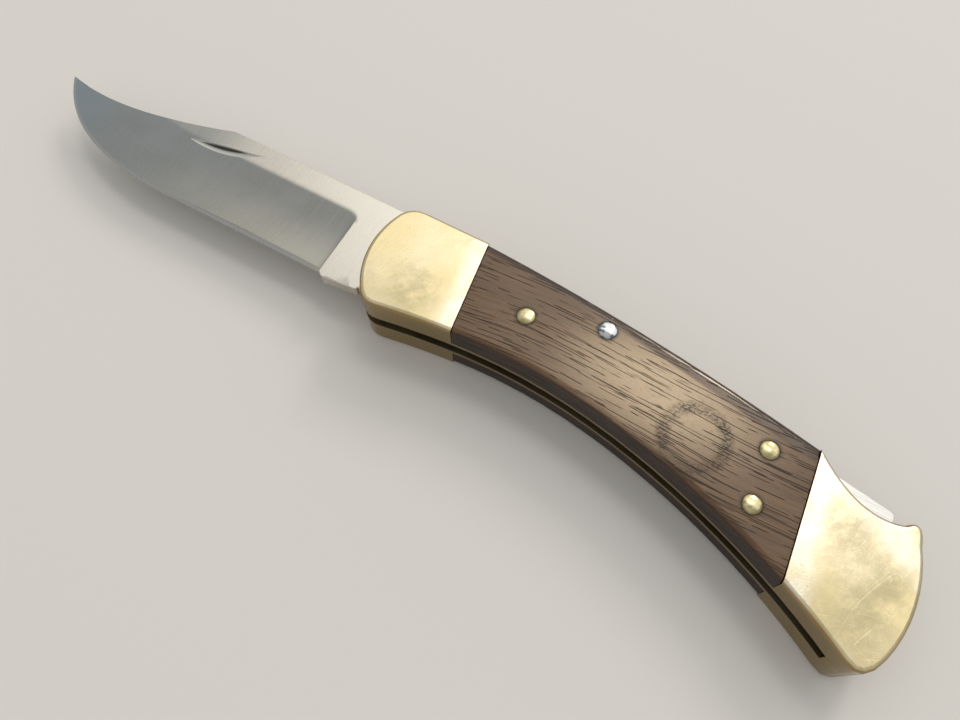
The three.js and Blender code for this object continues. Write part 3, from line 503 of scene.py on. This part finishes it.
def ring_mark(tree, place):
    """The dark worn ring, about 12 mm across, that something round has left in the wood's upper face."""
    away = put(tree, VECTOR_MATH, (place, RING_CENTRE), out="Value", operation="DISTANCE")
    ring = put(tree, MAP_RANGE, (away, 4.2 * MM, 5.7 * MM), **EASED)
    ring = put(tree, MAP_RANGE, (away, 8.1 * MM, 6.6 * MM, 0, ring), **EASED)
    grains = pattern(tree, place, (0.55, 0.40, 0.55), 0, 3, detail=3, rough=0.7)
    grains = put(tree, MAP_RANGE, (grains, 0.44, 0.56, 0.30, 1.0), **EASED)
    uneven = pattern(tree, place, (6, 5, 6), 0, 77, detail=1)
    uneven = put(tree, MAP_RANGE, (uneven, 0.30, 0.58, 0.50, 1.0), **EASED)
    for worn in (grains, uneven):
        ring = put(tree, MATH, (ring, worn), operation="MULTIPLY")
    return ring


def grime_at_pins(tree, place):
    """A dark line of old wax and dirt in the wood close round each pin's head."""
    nearest, *others = [away_in_plan(tree, place, pin) for pin in PIN_PLACES]
    for away in others:
        nearest = put(tree, MATH, (nearest, away), operation="MINIMUM")
    return put(tree, MAP_RANGE, (nearest, 2.75 * MM, 2.1 * MM), **EASED)


def back_shade_band(tree, place):
    """Where shade is painted along the handle's back: 1 there, fading out down the wood over a strip that
    widens to the rear.
    """
    along, height, _ = put(tree, "ShaderNodeSeparateXYZ", (place,), out=None)
    run = put(tree, MATH, (along, BACK_FALL_START * MM), operation="SUBTRACT")
    run = put(tree, MATH, (run, 0.0), operation="MAXIMUM")
    slope = built_up(tree, BACK_SLOPE, (run, BACK_CURVE / MM))
    raised = built_up(tree, height, (run, slope))
    to_back = put(tree, MATH, (BACK_HEIGHT * MM, raised), operation="SUBTRACT")
    strip = put(tree, MAP_RANGE, (along, 15 * MM, 85 * MM, 2.6 * MM, 4.2 * MM), **EASED)
    share = put(tree, MATH, (to_back, strip), operation="DIVIDE")
    return put(tree, MAP_RANGE, (share, 1.0, 0.55), **EASED)


def oiled_dark_wood():
    """Dense dark hardwood soaked with resin, sanded and buffed: long black pores along the grain, a dull
    silky sheen on the flats, a paler painted sheen round the middle and painted shade on the edges, back and
    walls."""
    material, tree = bare_finish("oiled_dark_wood")
    straight = put(tree, "ShaderNodeTexCoord", out="Object")
    # The grain drifts over lengths of about 60 mm, up to 3 mm across and 1 mm in depth
    drift = put(tree, "ShaderNodeTexNoise", {"Vector": straight, "Scale": 1 / (60 * MM), "Detail": 1.0},
                out="Color")
    drift = put(tree, VECTOR_MATH, (drift, (0.5, 0.5, 0.5)), operation="SUBTRACT")
    drift = put(tree, VECTOR_MATH, (drift, (0, 6 * MM, 2 * MM)), operation="MULTIPLY")
    place = put(tree, VECTOR_MATH, (straight, drift), operation="ADD")
    crowd = pattern(tree, place, (30, 3, 3), 1, 19)
    crowd = put(tree, MAP_RANGE, (crowd, 0.35, 0.65, -0.05, 0.06), **EASED)
    pore = 0.0
    for rows in PORE_ROWS:
        pore = put(tree, MATH, (pore, pore_rows(tree, place, *rows, crowd)), operation="MAXIMUM")
    # Fibres are about 0.03 mm wide, too fine to show, and are drawn as strands of 0.6 mm; the specks between
    # them are short cells of the wood, and the bands are years of its growth, about 5 mm wide
    fibre = pattern(tree, place, (18, 0.6, 0.6), 1, 2, detail=5, rough=0.7)
    specks = pattern(tree, place, (0.9, 0.35, 0.5), 1, 44, detail=3, rough=0.7)
    band = pattern(tree, place, (70, 5, 5), 1, 33)
    # Where oil and hands have left it darker or paler, in patches of one to two centimetres
    patch = pattern(tree, straight, (20, 12, 12), 25, 14)
    rim = put(tree, MATH, (turned_away(tree, 0.50, 0.985), back_shade_band(tree, straight)), operation="MAXIMUM")
    wall = turned_away(tree, 0.05, 0.60)
    ring = ring_mark(tree, straight)
    sheen_distance = away_in_plan(tree, straight, SHEEN_CENTRE, weights=(1, 2, 0))
    colour = coats(
        tree, "#523C26",
        (put(tree, MAP_RANGE, (fibre, 0.32, 0.68), **EASED), 1, "#6A4E31"),
        (put(tree, MAP_RANGE, (band, 0.35, 0.65), **EASED), 0.30, "#3A2819"),
        # Painted sheen: the wood paler round the handle's middle
        (put(tree, MAP_RANGE, (sheen_distance, 30 * MM, 3 * MM), **EASED), 0.80, "#D6BE9C"),
        (put(tree, MAP_RANGE, (patch, 0.40, 0.70), **EASED), 0.20, "#745B42"),
        (put(tree, MAP_RANGE, (specks, 0.50, 0.75), **EASED), 0.35, "#2E2016"),
        # Painted shade: the rounded edges and the band along the back go dark red-brown, then near black
        (put(tree, MAP_RANGE, (rim, 0.02, 0.60), **EASED), 0.85, "#442111"),
        (put(tree, MAP_RANGE, (rim, 0.40, 1.00), **EASED), 0.85, "#1C0B05"),
        # Painted shade on the side walls
        (wall, 0.92, "#1A0C05"),
        (pore, 1, "#0E0805"),
        (ring, 0.85, "#1C1612"),
        (grime_at_pins(tree, straight), 0.65, "#17100B"))
    dull = built_up(
        tree, put(tree, MAP_RANGE, (patch, 0.3, 0.7, 0.36, 0.30), **EASED),
        (pore, 0.25), (ring, 0.15), (rim, -0.14), (wall, 0.35))
    bumps = relief(tree, (patch, 0.10), (fibre, 0.010), (pore, -0.08))
    shade(tree, {"Base Color": colour, "Roughness": dull, "IOR": 1.52, "Specular IOR Level": 0.65,
                 "Specular Tint": "#FFF0E0", "Normal": bumps})
    return material


# ---------------------------------------------------------------- the blade's measures

FRONT_REACH, BLADE_LENGTH, STOCK = 11.25, 95.25, 3.05
HALF_STOCK = STOCK / 2
SPINE_Y, EDGE_Y, TANG_BACK = 13.9, -8.0, 12.7
TIP = np.array((-FRONT_REACH - BLADE_LENGTH, 9.15))
# Control points in plan of the clip, of the edge's curve to the tip, and of the step from tang to spine
CLIP = ((TIP[0] + 47.25, SPINE_Y), (TIP[0] + 31.5, SPINE_Y - 5.3), (TIP[0] + 15.5, SPINE_Y - 8), tuple(TIP))
EDGE_CURVE = ((TIP[0] + 44.5, EDGE_Y), (TIP[0] + 20.5, EDGE_Y - 0.5),
              (TIP[0] + 7, TIP[1] - 1.58 * 7), tuple(TIP))
EDGE_CURVE_X = EDGE_CURVE[0][0]
TANG_STEP = ((-7.6, TANG_BACK), (-8.15, TANG_BACK), (-8.7, SPINE_Y))
CURVE_STEPS = 90
# The kick under the ricasso, and the heel where the tang starts behind it
KICK_FRONT, KICK_TIP, KICK_REAR, HEEL = (-19.6, -8.7), (-18.9, -8.95), (-12.2, -8.2), (-10.5, -7.45)
# Radii round the pivot, where the hook's notch starts and ends, and the angle where the relief ends
CAM_RADIUS, NOTCH_RADIUS, RELIEF_RADIUS, PIVOT_BORE = 9.2, 8.4, 8.2, 2.45
NOTCH_FRONT, NOTCH_REAR = 0.9, 4.55
RELIEF_END = 281
# The shortest step that the outline keeps
LEAST_STEP = 0.02

# The hollow grind: how high it reaches, the wheel's radius, how far its cross lines lean over at the tip in
# degrees, and over what depth its upper line is softened
GRIND_HEIGHT, WHEEL_RADIUS, WHEEL_LEAN, GRIND_SOFT = 16.5, 150.0, 50, 0.07
# Its rear end: where it starts, the radius of its wall, and how far and how high the grind line sweeps up
PLUNGE_X, PLUNGE_RADIUS, SWEEP_REACH, SWEEP_RISE = -20.2, 1.1, 3.2, 1.6
# How deep the grind must be for the hollow's finish to take over from the flat's
FINISH_DEPTH = 0.05
# The cutting bevel's width, and half the blade's thickness at its top and at the edge itself
BEVEL_WIDTH, BEVEL_HALF, EDGE_HALF = 0.7, 0.25, 0.04
# The small round along the outline, and the half thickness and the way from the edge where it is left off
ARRIS, ARRIS_LEAST_HALF, ARRIS_FROM_EDGE = 0.14, 0.35, 0.5

NICK_LENGTH, NICK_WIDTH, NICK_DEPTH, NICK_LEAN = 20.6, 2.6, 0.95, math.radians(11.6)
NICK_CENTRE = np.array((-59.1, SPINE_Y - 4.72))
NICK_ALONG = np.array((math.cos(NICK_LEAN), math.sin(NICK_LEAN)))
NICK_DOWN = np.array((math.sin(NICK_LEAN), -math.cos(NICK_LEAN)))
# How wide the nick's upper wall is in plan, and how steeply it rises
NICK_WALL, NICK_WALL_SLOPE = 0.12, 30
# How far past its ends and over its top line the cutter is followed, and a height far above the blade that
# stands for no nick
NICK_PAST_ENDS, NICK_PAST_TOP, NO_FLOOR = 1.0, 0.2, 9.0


def bezier(points, count):
    """Points along a curve of three or four control points."""
    share = np.linspace(0, 1, count + 1)[:, None]
    level = [np.array(p, float) for p in points]
    while len(level) > 1:
        level = [a * (1 - share) + b * share for a, b in zip(level, level[1:])]
    return level[0]


def arc(radius, start, end, count):
    """Points along an arc round the pivot, between two angles in degrees."""
    angle = np.radians(np.linspace(start, end, count + 1))
    return np.stack((radius * np.cos(angle), radius * np.sin(angle)), 1)


def angle_at(x, radius):
    """The angle in degrees at which a circle round the pivot reaches x."""
    return math.degrees(math.acos(x / radius))


def blade_outline():
    """The blade in plan, from the hook's notch round the spine, point and edge to the tang and back."""
    relief_start = 180 + math.degrees(math.asin(-HEEL[1] / RELIEF_RADIUS))
    runs = [
        [(NOTCH_FRONT, TANG_BACK)],
        bezier(TANG_STEP, 8),
        np.linspace(TANG_STEP[-1], CLIP[0], 40)[1:-1],
        bezier(CLIP, CURVE_STEPS),
        bezier(EDGE_CURVE, CURVE_STEPS)[::-1],
        np.linspace((EDGE_CURVE_X, EDGE_Y), (PLUNGE_X, EDGE_Y), 50)[1:],
        [KICK_FRONT, KICK_TIP],
        bezier((KICK_REAR, (HEEL[0], KICK_REAR[1]), HEEL), 8),
        arc(RELIEF_RADIUS, relief_start, RELIEF_END, 8),
        arc(CAM_RADIUS, RELIEF_END + 1, 360 + angle_at(NOTCH_REAR, CAM_RADIUS), 60),
        arc(NOTCH_RADIUS, angle_at(NOTCH_REAR, NOTCH_RADIUS), angle_at(NOTCH_FRONT, NOTCH_RADIUS), 8),
    ]
    points = [runs[0][0]]
    for point in np.concatenate([np.array(r, float) for r in runs]):
        if np.hypot(*(point - points[-1])) > LEAST_STEP:
            points.append(point)
    return np.array(points)


# ---------------------------------------------------------------- the blade's thickness

def from_edge(points):
    """Each point's distance from the cutting edge, along the wheel's cross lines, which lean at the tip."""
    feet = bezier(EDGE_CURVE, 499)
    angle = np.radians(90 - WHEEL_LEAN * np.linspace(0, 1, 500))
    lines = np.stack((np.cos(angle), np.sin(angle)), 1)
    away = points[:, 1] - EDGE_Y
    for i in np.nonzero(points[:, 0] < EDGE_CURVE_X)[0]:
        reach = points[i] - feet
        side = lines[:, 0] * reach[:, 1] - lines[:, 1] * reach[:, 0]
        passed = np.nonzero(side[:-1] * side[1:] <= 0)[0]
        if len(passed):
            k = passed[0]
            t = side[k] / (side[k] - side[k + 1] + 1e-12)
            away[i] = (1 - t) * reach[k] @ lines[k] + t * reach[k + 1] @ lines[k + 1]
        else:
            away[i] = np.hypot(*reach[-1])
    return away


def smooth_lower(a, b, soft):
    """The lower of two heights, blended where they are closer than soft."""
    mix = np.clip(0.5 + 0.5 * (b - a) / soft, 0, 1)
    return b * (1 - mix) + a * mix - soft * mix * (1 - mix)


def quarter_round(share):
    """A quarter circle's rise from 0 to 1 over a share from 0 to 1."""
    return np.sqrt(1 - (1 - np.clip(share, 0, 1)) ** 2)


def ground_half(points):
    """Half the blade's thickness at each point: bevel, hollow of the wheel, soft grind line and plunge; and
    each point's distance from the edge."""
    before_plunge = PLUNGE_X - points[:, 0]
    cut = quarter_round(before_plunge / PLUNGE_RADIUS)
    away = from_edge(points) + SWEEP_RISE * (1 - quarter_round(before_plunge / SWEEP_REACH))
    along = away - BEVEL_WIDTH
    run = GRIND_HEIGHT - BEVEL_WIDTH
    hollow = BEVEL_HALF + (HALF_STOCK - BEVEL_HALF) * along / run - along * (run - along) / (2 * WHEEL_RADIUS)
    hollow = smooth_lower(hollow, np.full_like(hollow, HALF_STOCK), GRIND_SOFT)
    bevel = EDGE_HALF + (BEVEL_HALF - EDGE_HALF) * np.clip(away, 0, None) / BEVEL_WIDTH
    ground = np.where(along < 0, bevel, hollow)
    half = HALF_STOCK - (HALF_STOCK - ground) * cut
    return np.where(points[:, 0] >= PLUNGE_X, HALF_STOCK, half), away


def nick_floor(points):
    """Height of the nail nick's sloping floor over each point, or far above the blade outside it."""
    cutter = (NICK_LENGTH ** 2 / 4 + NICK_DEPTH ** 2) / (2 * NICK_DEPTH)
    reach = points - NICK_CENTRE
    along, down = reach @ NICK_ALONG, reach @ NICK_DOWN
    centre = HALF_STOCK + cutter - NICK_DEPTH
    floor = centre - np.sqrt(np.clip(cutter ** 2 - along ** 2, 1, None)) + down * NICK_DEPTH / NICK_WIDTH
    floor = np.where(down < NICK_WALL, floor + (NICK_WALL - down) * NICK_WALL_SLOPE, floor)
    near = (np.abs(along) < NICK_LENGTH / 2 + NICK_PAST_ENDS) & (down > -NICK_PAST_TOP)
    return np.where(near, floor, NO_FLOOR)


def nick_lines(count=40, samples=400):
    """The nick's top line, the foot of its wall and its lower lip, as runs of points."""
    runs = [], [], []
    down = np.linspace(0, NICK_WIDTH, samples)
    for s in np.linspace(-NICK_LENGTH / 2, NICK_LENGTH / 2, count + 1)[1:-1]:
        points = NICK_CENTRE + np.outer(np.full(samples, s), NICK_ALONG) + np.outer(down, NICK_DOWN)
        inside = np.nonzero(nick_floor(points) < ground_half(points)[0])[0]
        if len(inside) > 4:
            runs[0].append(points[inside[0] - 1])
            runs[1].append(NICK_CENTRE + s * NICK_ALONG + NICK_WALL * NICK_DOWN)
            runs[2].append(points[min(inside[-1] + 1, samples - 1)])
    return [np.array(r) for r in runs]


# ---------------------------------------------------------------- the blade's mesh

# Where the mesh's cross rows lie in front of the plunge and behind it, closer together near it
NEAR_ROWS = np.array((0.03, 0.08, 0.16, 0.3, 0.45, 0.65, 0.9, 1.2, 1.7, 2.3, 3.0))
ROWS_IN_HOLLOW = np.concatenate((PLUNGE_X - NEAR_ROWS, np.arange(PLUNGE_X - 3.7, EDGE_CURVE_X, -0.8)))
ROWS_ON_RICASSO = np.concatenate((PLUNGE_X + np.array((0.12, 0.3, 0.6)), np.arange(PLUNGE_X + 1.2, 8.5, 1.1)))
# Heights over the edge of the points in a row
HOLLOW_HEIGHTS, RICASSO_HEIGHTS = np.arange(1.2, 21.5, 0.55), np.arange(-0.4, 21.5, 1.1)
# How many cross rows the curve up to the tip has
TIP_ROWS = 61
# The nearest that a free point may come to the outline and to a line inside it
OUTLINE_GAP, LINE_GAP = 0.3, 0.15
# The nearest that the bevel's line may come to the outline, and the small round's points to the edge
BEVEL_GAP, ARRIS_EDGE_GAP = 0.25, 0.4
# How deep inside the outline the small round's rows of points lie, and the share of that depth which a
# point must keep from all of the outline, so that none crowd in its corners
ARRIS_ROWS, ARRIS_ROOM = (0.05, ARRIS), 0.7
# Where the plunge's line starts over the edge and ends under the spine
PLUNGE_LOW, PLUNGE_HIGH = EDGE_Y + 0.1, SPINE_Y - 1.5
# The least bend that shades as a crease, in degrees
BLADE_CREASE = 11


def distance_to(points, line, closed=False):
    """Each point's distance from a run of points."""
    ends = np.roll(line, -1, 0) if closed else line[1:]
    starts = line if closed else line[:-1]
    span = ends - starts
    size = np.maximum((span ** 2).sum(1), 1e-12)
    best = np.full(len(points), 1e9)
    for s, d, n in zip(starts, span, size):
        t = np.clip(((points - s) @ d) / n, 0, 1)[:, None]
        best = np.minimum(best, np.hypot(*(points - s - t * d).T))
    return best


def inside_of(points, ring):
    """Which points lie inside a closed outline."""
    inside = np.zeros(len(points), bool)
    for (x1, y1), (x2, y2) in zip(ring, np.roll(ring, -1, 0)):
        crosses = (y1 > points[:, 1]) != (y2 > points[:, 1])
        at_x = (x2 - x1) * (points[:, 1] - y1) / (y2 - y1 + 1e-12) + x1
        inside ^= crosses & (points[:, 0] < at_x)
    return inside


def blade_lines(ring, edge):
    """The lines that the mesh follows, and whether each is closed: outline, bevel, plunge, bore and nick."""
    square = np.gradient(edge, axis=0)
    square = np.stack((square[:, 1], -square[:, 0]), 1) / np.hypot(*square.T)[:, None]
    bevel = np.concatenate(([(PLUNGE_X - 0.02, EDGE_Y + BEVEL_WIDTH)], edge + square * BEVEL_WIDTH))
    bevel = bevel[inside_of(bevel, ring) & (distance_to(bevel, ring, True) > BEVEL_GAP)]
    plunge = np.array([(PLUNGE_X, y) for y in np.linspace(PLUNGE_LOW, PLUNGE_HIGH, 40)])
    bore = arc(PIVOT_BORE, 0, 360, 48)[:-1]
    nick = [(line, False) for line in nick_lines()]
    return [(ring, True), (bevel, False), (plunge, False), (bore, True), *nick]


def free_points(lines):
    """Rows of points across the blade, clear of its lines."""
    points = [(x, EDGE_Y + y) for x in ROWS_IN_HOLLOW for y in HOLLOW_HEIGHTS]
    points += [(x, EDGE_Y + y) for x in ROWS_ON_RICASSO for y in RICASSO_HEIGHTS]
    feet = bezier(EDGE_CURVE, TIP_ROWS)
    for foot, share in zip(feet[:-1], np.linspace(0, 1, TIP_ROWS + 1)):
        angle = math.radians(90 - WHEEL_LEAN * share)
        points += [foot + y * np.array((math.cos(angle), math.sin(angle))) for y in HOLLOW_HEIGHTS]
    points = np.array(points)
    ring = lines[0][0]
    points = points[inside_of(points, ring)]
    clear = distance_to(points, ring, True) > OUTLINE_GAP
    for line, closed in lines[1:]:
        clear &= distance_to(points, line, closed) > LINE_GAP
    return points[clear]


def arris_points(ring, edge):
    """Points just inside the outline that carry its small round; the cutting edge has none."""
    run = np.roll(ring, -1, 0) - np.roll(ring, 1, 0)
    inward = np.stack((-run[:, 1], run[:, 0]), 1) / np.hypot(*run.T)[:, None]
    rows = []
    for depth in ARRIS_ROWS:
        row = ring + inward * depth
        kept = inside_of(row, ring) & (distance_to(row, ring, True) > depth * ARRIS_ROOM)
        rows.append(row[kept & (distance_to(row, edge) > ARRIS_EDGE_GAP)])
    return rows


def blade_plan(ring, edge):
    """The blade's plan as points and triangles that follow the grind, the bevel and the nick."""
    lines = blade_lines(ring, edge)
    links, start = [], 0
    for line, closed in lines:
        count = len(line)
        links += [(start + i, start + (i + 1) % count) for i in range(count if closed else count - 1)]
        start += count
    points = np.concatenate([line for line, _ in lines] + [free_points(lines)] + arris_points(ring, edge))
    # Triangles within the lines; those that fill the bore or lie outside a hollow stretch are dropped below
    made = delaunay_2d_cdt([Vector(p) for p in points], links, [], 1, 1e-5, False)
    plan = np.array([tuple(v) for v in made[0]])
    faces = [tuple(f) for f in made[2]]
    middle = np.array([plan[list(f)].mean(0) for f in faces])
    kept = inside_of(middle, ring) & (np.hypot(*middle.T) > PIVOT_BORE * 0.995)
    return plan, [f for f, keep in zip(faces, kept) if keep]


def blade_heights(plan, ring, edge):
    """Height of the blade's upper and lower side over its middle plane, and the ground half thickness."""
    half, _ = ground_half(plan)
    near = np.clip(distance_to(plan, ring, True), 0, ARRIS)
    drop = ARRIS - np.sqrt(np.maximum(ARRIS ** 2 - (ARRIS - near) ** 2, 0))
    whole_edge = np.concatenate(([(PLUNGE_X, EDGE_Y)], edge))
    sharp = (half < ARRIS_LEAST_HALF) | (distance_to(plan, whole_edge) < ARRIS_FROM_EDGE)
    rounded = half - np.where(sharp, 0, drop)
    return np.minimum(rounded, nick_floor(plan)), rounded, half


def add_piece(name, vertices, faces, material, crease):
    """An object of a mesh that is shaded smooth up to a crease, given in degrees."""
    mesh = bpy.data.meshes.new(name)
    mesh.from_pydata(vertices, [], faces)
    mesh.polygons.foreach_set("use_smooth", [True] * len(mesh.polygons))
    mesh.materials.append(material)
    piece = bpy.data.objects.new(name, mesh)
    scene.collection.objects.link(piece)
    mesh.validate()
    mesh.set_sharp_from_angle(angle=math.radians(crease))
    return piece


def make_blade(material):
    """The blade as one closed mesh that carries its grind, cutting bevel and nail nick."""
    ring = blade_outline()
    edge = bezier(EDGE_CURVE, CURVE_STEPS)
    plan, faces = blade_plan(ring, edge)
    upper, lower, half = blade_heights(plan, ring, edge)
    vertices = [(x * MM, y * MM, (MIDDLE + z) * MM) for (x, y), z in zip(plan, upper)]
    vertices += [(x * MM, y * MM, (MIDDLE - z) * MM) for (x, y), z in zip(plan, lower)]
    count = len(plan)
    sides = dict.fromkeys(pair for face in faces for pair in zip(face, face[1:] + face[:1]))
    rim = [(a, b) for a, b in sides if (b, a) not in sides]
    skin = faces + [tuple(count + i for i in reversed(f)) for f in faces]
    skin += [(b, a, a + count, b + count) for a, b in rim]
    blade = add_piece("clip_point_blade", vertices, skin, material, BLADE_CREASE)

    # Where the finish changes: the hollow by points, the bevel and the nick by faces
    hollow = np.tile(np.clip((HALF_STOCK - half) / FINISH_DEPTH, 0, 1), 2)
    middle = np.array([plan[list(f)].mean(0) for f in faces])
    middle_half, middle_away = ground_half(middle)
    on_bevel = (middle_away < BEVEL_WIDTH) & (middle[:, 0] < PLUNGE_X)
    in_nick = nick_floor(middle) < middle_half
    no_lower, no_rim = np.zeros(len(faces)), np.zeros(len(rim))
    for name, where, values in (("hollow", "POINT", hollow),
                                ("bevel", "FACE", np.concatenate((on_bevel, on_bevel, no_rim))),
                                ("nick", "FACE", np.concatenate((in_nick, no_lower, no_rim)))):
        zone = blade.data.attributes.new(name, "FLOAT", where)
        zone.data.foreach_set("value", values.astype(np.float32))
    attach(blade, "blade")
    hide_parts("blade")


# ---------------------------------------------------------------- the leaf spring

LEAF_LINE = ((99.95, -9.75), (92.05, -9.75), (87.05, -5.42), (78.25, -1.92))
LEAF_HALF, LEAF_CORNER, LEAF_CREASE = 0.6, 0.12, 30


def make_leaf_spring(material):
    """The leaf that presses the lock bar up, as one fixed mesh along its curved line."""
    line = bezier(LEAF_LINE, 60)
    run = np.gradient(line, axis=0)
    run /= np.linalg.norm(run, axis=1)[:, None]
    side = np.stack((-run[:, 1], run[:, 0]), 1)
    half, wide, cut = LEAF_HALF, HALF_STOCK, LEAF_CORNER
    section = ((half, wide - cut), (half, cut - wide), (half - cut, -wide), (cut - half, -wide),
               (-half, cut - wide), (-half, wide - cut), (cut - half, wide), (half - cut, wide))
    vertices = [((x + sx * up) * MM, (y + sy * up) * MM, (MIDDLE + z) * MM)
                for (x, y), (sx, sy) in zip(line, side) for up, z in section]
    count, last = len(section), len(vertices) - len(section)
    skin = [(i + j, i + count + j, i + count + (j + 1) % count, i + (j + 1) % count)
            for i in range(0, last, count) for j in range(count)]
    skin += [tuple(range(count)), tuple(reversed(range(last, last + count)))]
    leaf = add_piece("lock_leaf_spring", vertices, skin, material, LEAF_CREASE)
    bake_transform(leaf)
    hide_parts("lock_spring")


# ---------------------------------------------------------------- the other pieces

# In degrees: the least bend that shades as a crease, that gets an arris, and that two flat faces may have
CREASE, ARRIS_BEND, FLAT_BEND = 28, 38, 0.4
# Width in millimetres of the arris on each kind of piece
PIN_ARRIS, HANDLE_ARRIS, BAR_ARRIS = 0.05, 0.08, 0.1


def clean_faces():
    """Joins the triangles of a CAD solid and shades it smooth up to a crease."""
    tree = bpy.data.node_groups.new("clean_faces", "GeometryNodeTree")
    tree.interface.new_socket("Geometry", in_out="INPUT", socket_type="NodeSocketGeometry")
    tree.interface.new_socket("Geometry", in_out="OUTPUT", socket_type="NodeSocketGeometry")
    raw = put(tree, "NodeGroupInput")
    joint = put(tree, "GeometryNodeMergeByDistance", {"Geometry": raw, "Distance": 1e-6})
    plain = put(tree, "GeometryNodeRemoveAttribute", {"Geometry": joint, "Name": "custom_normal"})
    bend = put(tree, "GeometryNodeInputMeshEdgeAngle")
    crease = put(tree, "FunctionNodeCompare", (bend, math.radians(CREASE)), data_type="FLOAT",
                 operation="GREATER_THAN")
    smooth = put(tree, "GeometryNodeSetShadeSmooth", {"Geometry": plain, "Shade Smooth": True}, domain="FACE")
    creased = put(tree, "GeometryNodeSetShadeSmooth",
                  {"Geometry": smooth, "Selection": crease, "Shade Smooth": False}, domain="EDGE")
    put(tree, "NodeGroupOutput", (creased,), out=None)
    return tree


def dress(node, material, cleaner, arris):
    """Gives a CAD piece its finish, smooth faces and a small rounded arris along its creases."""
    piece = nodes[node]
    piece.material_slots[0].material = material
    piece.modifiers.new("clean_faces", "NODES").node_group = cleaner
    flat = piece.modifiers.new("flat_faces", "DECIMATE")
    flat.decimate_type, flat.angle_limit = "DISSOLVE", math.radians(FLAT_BEND)
    edge = piece.modifiers.new("arris", "BEVEL")
    edge.limit_method, edge.angle_limit = "ANGLE", math.radians(ARRIS_BEND)
    edge.width, edge.segments = arris * MM, 2
    edge.use_clamp_overlap = True
    even = piece.modifiers.new("even_shading", "WEIGHTED_NORMAL")
    even.keep_sharp = False


photo_camera()
floor_board()
studio()

brass = buffed_brass()
rivet_brass = spun_rivet_brass()
wood = oiled_dark_wood()
bar_steel = brushed_bar_steel()
pin_steel = peened_pin_steel()
make_blade(satin_blade_steel())
make_leaf_spring(blued_spring_steel())

cleaner = clean_faces()
for name in nodes:
    if name in ("blade", "lock_spring"):
        continue
    if "scale" in name:
        dress(name, wood, cleaner, HANDLE_ARRIS)
    elif name == "lock_bar":
        dress(name, bar_steel, cleaner, BAR_ARRIS)
    elif name == "lock_bar_pin":
        dress(name, pin_steel, cleaner, PIN_ARRIS)
    elif "rivet" in name:
        dress(name, rivet_brass, cleaner, PIN_ARRIS)
    else:
        dress(name, brass, cleaner, HANDLE_ARRIS)
